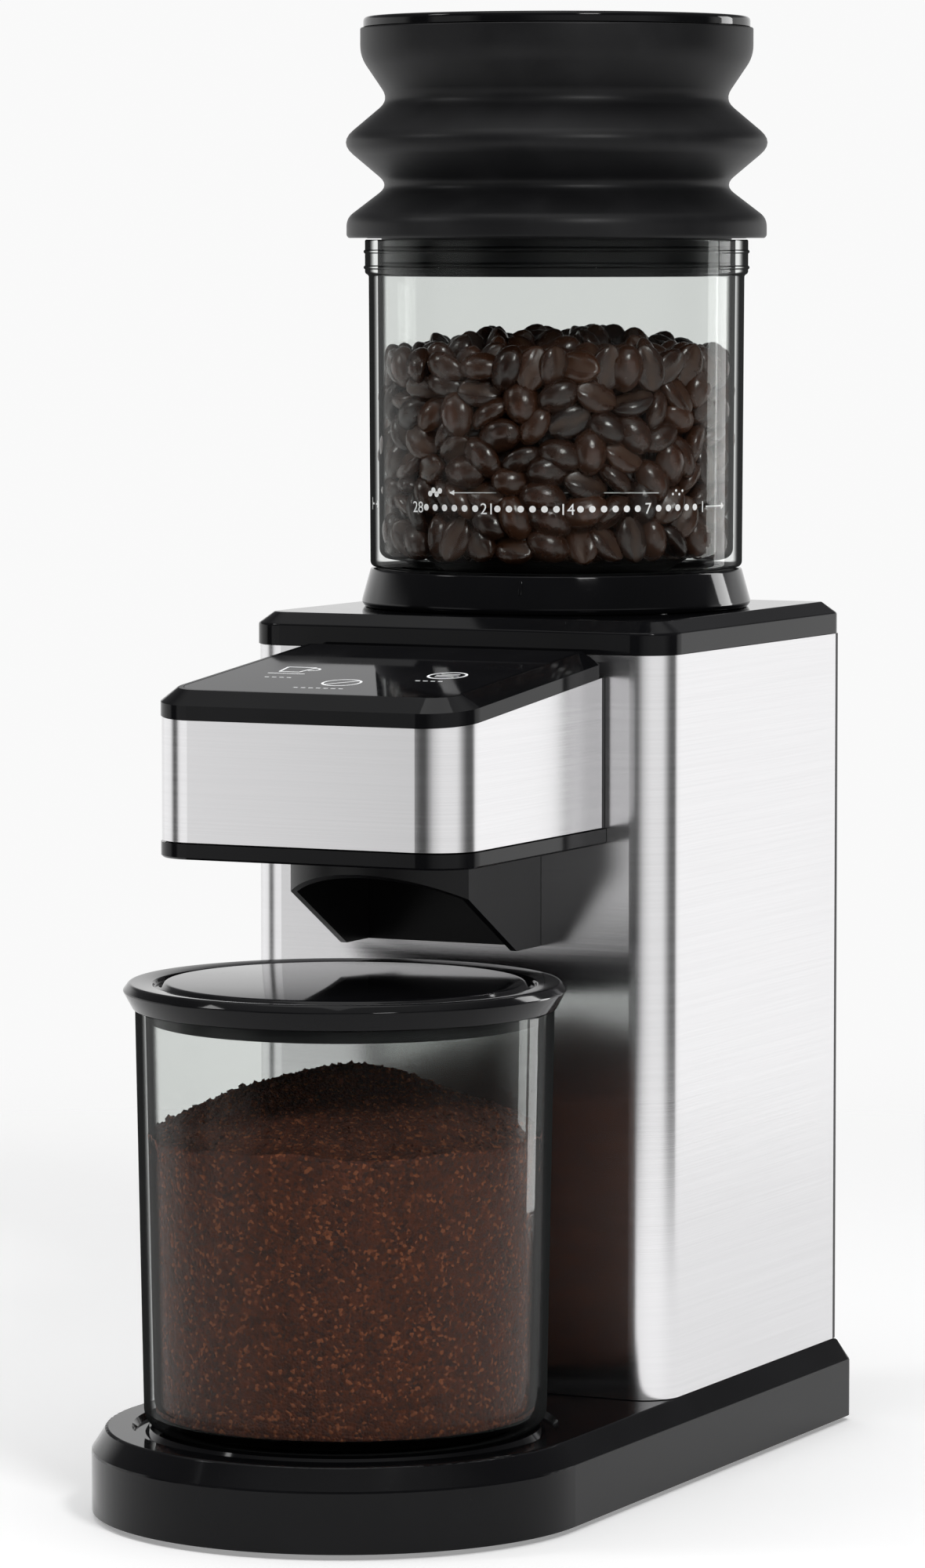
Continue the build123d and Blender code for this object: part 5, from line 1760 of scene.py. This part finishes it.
@dataclass
class PanelArt:
    """White signs of the three touch keys, printed under the glass; their ink glows with painted light.
    """

    slope: float = 5.35
    stroke: float = 0.36
    size: float = 1.75
    lift: float = 0.06
    bar_step: float = 1.2
    bar_half: float = 0.36
    keys: tuple[Point, Point, Point] = ((-21.2, -43.3), (0.3, -60.1), (22.1, -44.4))
    rows: tuple[Point, Point, Point] = ((-20.4, -55.0), (-1.6, -69.4), (21.4, -53.5))
    counts: tuple[int, int, int] = (4, 7, 4)

    def build(self) -> list[bpy.types.Object]:
        """Prints a cup, a crossed circle and a circle with lines, each with its row of short bars.

        Returns:
            The three prints.
        """
        signs = (self._cup(), self._crossed(), self._lined())
        names = ("cup_key_print", "power_key_print", "dose_key_print")
        return [self._laid(name, sign, key) for key, (name, sign) in enumerate(zip(names, signs))]

    def _laid(self, name: str, sketch: Sketch, key: int) -> bpy.types.Object:
        """Lays a sign and its bars on the sloping panel.

        Args:
            name: The piece's name.
            sketch: The sign.
            key: Which of the three keys it marks.

        Returns:
            The object.
        """
        place, row, count = self.keys[key], self.rows[key], self.counts[key]
        middle_x, y = (row[0] - place[0]) / self.size, (row[1] - place[1]) / self.size
        for i in range(count):
            x = middle_x + (i - (count - 1) / 2) * self.bar_step
            sketch.bar((x - self.bar_half, y), (x + self.bar_half, y), self.stroke)
        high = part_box("touch_panel")[1]
        rise = tan(radians(self.slope))
        verts = []
        for x, y in sketch.verts:
            px, py = (place[0] + self.size * x) * MM, (place[1] + self.size * y) * MM
            verts.append((px, py, high.z - (high.y - py) * rise + self.lift * MM))
        piece = mesh_piece(name, np.array(verts), sketch.faces, Finishes.ICON)
        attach(piece, "housing")
        return piece

    def _cup(self) -> Sketch:
        """Draws a cup with a handle over a saucer line.

        Returns:
            The sign.
        """
        art, w = Sketch(), self.stroke
        art.bar((-2.6, 2.6), (2.0, 2.6), w)
        art.bar((-2.6, 2.6), (-1.9, -1.6), w)
        art.bar((2.0, 2.6), (1.3, -1.6), w)
        art.bar((-1.9, -1.6), (1.3, -1.6), w)
        art.arc((2.2, 0.9), 1.1, -100, 100, w)
        art.bar((-3.0, -3.2), (3.0, -3.2), w)
        return art

    def _crossed(self) -> Sketch:
        """Draws a circle with a slanted line through it.

        Returns:
            The sign.
        """
        art, w = Sketch(), self.stroke
        art.arc((0, 0), 2.8, 0, 360, w)
        art.bar((-2.0, -2.0), (2.0, 2.0), w)
        return art

    def _lined(self) -> Sketch:
        """Draws a circle with three level lines.

        Returns:
            The sign.
        """
        art, w = Sketch(), self.stroke
        art.arc((0, 0), 2.8, 0, 360, w)
        for y, half in ((1.1, 1.5), (0.0, 1.8), (-1.1, 1.5)):
            art.bar((-half, y), (half, y), w * 0.8)
        return art


def joined(name: str, parts: Sequence[bpy.types.Object]) -> bpy.types.Object:
    """Joins meshes of one finish into one piece.

    Args:
        name: The piece's name.
        parts: The meshes, which are used up.

    Returns:
        The object.
    """
    verts, faces, start = [], [], 0
    finish = parts[0].data.materials[0]
    for part in parts:
        verts += [tuple(v.co) for v in part.data.vertices]
        faces += [[start + i for i in p.vertices] for p in part.data.polygons]
        start = len(verts)
        bpy.data.objects.remove(part)
    mesh = bpy.data.meshes.new(name)
    mesh.from_pydata(verts, [], faces)
    mesh.polygons.foreach_set("use_smooth", [True] * len(mesh.polygons))
    mesh.set_sharp_from_angle(angle=radians(CREASE))
    mesh.materials.append(finish)
    piece = bpy.data.objects.new(name, mesh)
    bpy.context.scene.collection.objects.link(piece)
    return piece


# ---------------------------------------------------------------- studio
@dataclass(frozen=True)
class Lamp:
    """A flat lamp: its bearing and rise in degrees, size in metres, power in watts and distance."""

    name: str
    bearing: float
    rise: float
    size: Point
    power: float
    far: float = 1.5
    aim: tuple[float, float, float] = (0.0, 0.0, 0.2)

    def hang(self) -> bpy.types.Object:
        """Hangs the lamp, unseen by the camera, so that it looks at the object.

        Returns:
            The lamp.
        """
        data = bpy.data.lights.new(self.name, "AREA")
        data.shape = "RECTANGLE"
        data.size, data.size_y = self.size
        data.energy = self.power
        lamp = bpy.data.objects.new(self.name, data)
        turn, lift = radians(self.bearing), radians(self.rise)
        way = Vector((sin(turn), -cos(turn), tan(lift))).normalized()
        lamp.location = Vector(self.aim) + way * self.far
        lamp.rotation_euler = way.to_track_quat("Z", "Y").to_euler()
        lamp.visible_camera = False
        bpy.context.scene.collection.objects.link(lamp)
        return lamp


@dataclass
class Studio:
    """Floor, soft surroundings, lamps and camera."""

    surround: tuple[tuple[float, float], ...] = (
        (-180, 0.95),
        (-118, 0.95),
        (-110, 1.10),
        (-78, 1.05),
        (-71, 0.06),
        (-58, 0.06),
        (-52, 1.05),
        (-29, 1.12),
        (-20, 0.08),
        (2, 0.05),
        (20, 0.70),
        (40, 0.95),
        (78, 0.95),
        (94, 0.35),
        (104, 0.10),
        (126, 0.08),
        (134, 1.15),
        (160, 1.20),
        (170, 0.95),
    )
    lamps: tuple[Lamp, ...] = (
        Lamp("right_key", 48.0, 39.0, (0.26, 0.26), 8.0),
        Lamp("left_key", -60.0, 39.0, (0.26, 0.26), 2.6),
        Lamp("top_softbox", -20.0, 86.0, (1.0, 1.0), 5.0),
    )
    strip: Lamp = Lamp("rear_strip", 146.0, 1.0, (0.10, 0.62), 1.7, 0.5)
    strip_lit: tuple[str, ...] = (
        "hopper_collar_ring",
        "hopper_clear_wall",
        "jar_clear_wall",
        "jar_gloss_lid",
        "lid_press_disc",
    )
    upper: Colour = (0.16, 0.16, 0.165)
    upper_rise: Point = (0.13, 0.30)
    ceiling: Colour = (0.85, 0.85, 0.85)
    ceiling_rise: Point = (0.62, 0.92)
    ground: Colour = (0.93, 0.93, 0.93)
    ground_drop: Point = (0.12, 0.35)
    backdrop: Colour = (0.95, 0.95, 0.95)
    floor_half: float = 1.2
    floor_steps: int = 48
    camera_place: tuple[float, float, float] = (0.75966, -1.55338, 0.32145)
    camera_azimuth: float = 25.92
    camera_pitch: float = 4.656
    lens: float = 153.86
    sensor: float = 36.0
    near: float = 0.05

    def build(self) -> None:
        """Sets up the whole studio."""
        scene = bpy.context.scene
        scene.view_settings.view_transform = "Standard"
        self._world(scene)
        self._floor()
        for lamp in self.lamps:
            lamp.hang()
        self._camera(scene)

    def _world(self, scene: bpy.types.Scene) -> None:
        """Lights the surroundings by bearing, like tall soft boxes round a table.

        Args:
            scene: The scene that gets the world.
        """
        world = bpy.data.worlds.new("studio")
        scene.world = world
        world.use_nodes = True
        shader = Shader(world.node_tree)
        way = shader.add("ShaderNodeTexCoord", output="Generated")
        parts = {axis: shader.add("ShaderNodeSeparateXYZ", {}, {0: way}, axis) for axis in "XYZ"}
        bearing = parts["X"].atan2(0.0 - parts["Y"]) / (2 * pi) + 0.5
        stops = [(a / 360 + 0.5, (v, v, v)) for a, v in self.surround]
        walls = shader.add("ShaderNodeValToRGB", {"stops": stops}, {"Fac": bearing}, "Color")
        rise, drop = parts["Z"], 0.0 - parts["Z"]
        above = shader.blend(rise.between(*self.upper_rise), walls, self.upper)
        light = shader.blend(rise.between(*self.ceiling_rise), above, self.ceiling)
        round_it = shader.blend(drop.between(*self.ground_drop), light, self.ground)
        seen = shader.add("ShaderNodeLightPath", output="Is Camera Ray")
        sockets = {"Color": shader.blend(seen, round_it, self.backdrop), "Strength": 1.0}
        surface = shader.add("ShaderNodeBackground", {}, sockets, "Background")
        shader.add("ShaderNodeOutputWorld", {}, {"Surface": surface})

    def _floor(self) -> None:
        """Pale floor under the feet, which fades into the surroundings."""
        half, steps = self.floor_half, self.floor_steps
        line = np.linspace(-half, half, steps + 1)
        verts = np.array([(x, y, 0.0) for y in line for x in line])
        faces = []
        for i in range(steps):
            for j in range(steps):
                a = i * (steps + 1) + j
                faces.append([a, a + 1, a + steps + 2, a + steps + 1])
        mesh = bpy.data.meshes.new("studio_floor")
        mesh.from_pydata(verts.tolist(), [], faces)
        mesh.materials.append(PaleFloor("pale_floor_finish").material())
        floor = bpy.data.objects.new("studio_floor", mesh)
        bpy.context.scene.collection.objects.link(floor)

    def line_glass(self, pieces: Sequence[bpy.types.Object]) -> None:
        """Stands a narrow strip behind the right side, which only the clear and gloss pieces reflect.

        Args:
            pieces: All the pieces, of which it lights those in strip_lit.
        """
        strip = self.strip.hang()
        receivers = bpy.data.collections.new("strip_receivers")
        for piece in pieces:
            if piece.name in self.strip_lit:
                receivers.objects.link(piece)
        strip.light_linking.receiver_collection = receivers

    def _camera(self, scene: bpy.types.Scene) -> None:
        """Places a long lens a little above the hopper's foot, at the front right.

        Args:
            scene: The scene that gets the camera.
        """
        data = bpy.data.cameras.new("studio_camera")
        data.sensor_fit = "VERTICAL"
        data.sensor_height = self.sensor
        data.lens = self.lens
        data.clip_start = self.near
        camera = bpy.data.objects.new("studio_camera", data)
        a, e = radians(self.camera_azimuth), radians(self.camera_pitch)
        way = Vector((-sin(a) * cos(e), cos(a) * cos(e), -sin(e)))
        camera.location = self.camera_place
        camera.rotation_euler = way.to_track_quat("-Z", "Y").to_euler()
        scene.collection.objects.link(camera)
        scene.camera = camera


# ---------------------------------------------------------------- main
def middle(node: str) -> Point:
    """Middle of a CAD node in plan, in metres."""
    low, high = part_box(node)
    return ((low.x + high.x) / 2, (low.y + high.y) / 2)


def node_slots(record: dict[str, Any]) -> dict[str, str]:
    """The record's material slot of each CAD node.

    Args:
        record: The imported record.

    Returns:
        Slot by node name.
    """
    return {part["node"]: part["material_slot"] for part in record["subparts"]}


def main() -> None:
    """Builds the sub-assemblies in order and reports each piece."""
    logging.basicConfig(level=logging.INFO, format="%(name)s: %(message)s")
    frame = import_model()
    studio = Studio()
    studio.build()
    CladBody(frame["nodes"], node_slots(frame["record"])).dress()
    hopper_low, hopper_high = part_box("hopper_glass")
    collar_low, collar_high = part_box("hopper_collar")
    jar_low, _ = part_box("jar")
    tower = (0.0, middle("hopper_glass")[1])
    well = (0.0, middle("jar")[1])
    foot = collar_high.z / MM + 0.4
    hopper = Hopper(tower, foot, hopper_high.z / MM, hopper_low.z / MM)
    pieces: list[bpy.types.Object] = [
        *Collar(tower, collar_low.z / MM).build(),
        hopper.build(),
        *hopper.print_scale(),
        *Beans(tower, foot + 2.2).build(),
        *BellowsLid(tower, hopper_high.z / MM + 0.3).build(),
        *Jar(well, jar_low.z / MM).build(),
        *Grounds(well, jar_low.z / MM + 3.8).build(),
        *PanelArt().build(),
    ]
    studio.line_glass(pieces)
    for piece in pieces:
        log.info("built %s with %d faces", piece.name, len(piece.data.polygons))


if __name__ == "__main__":
    main()
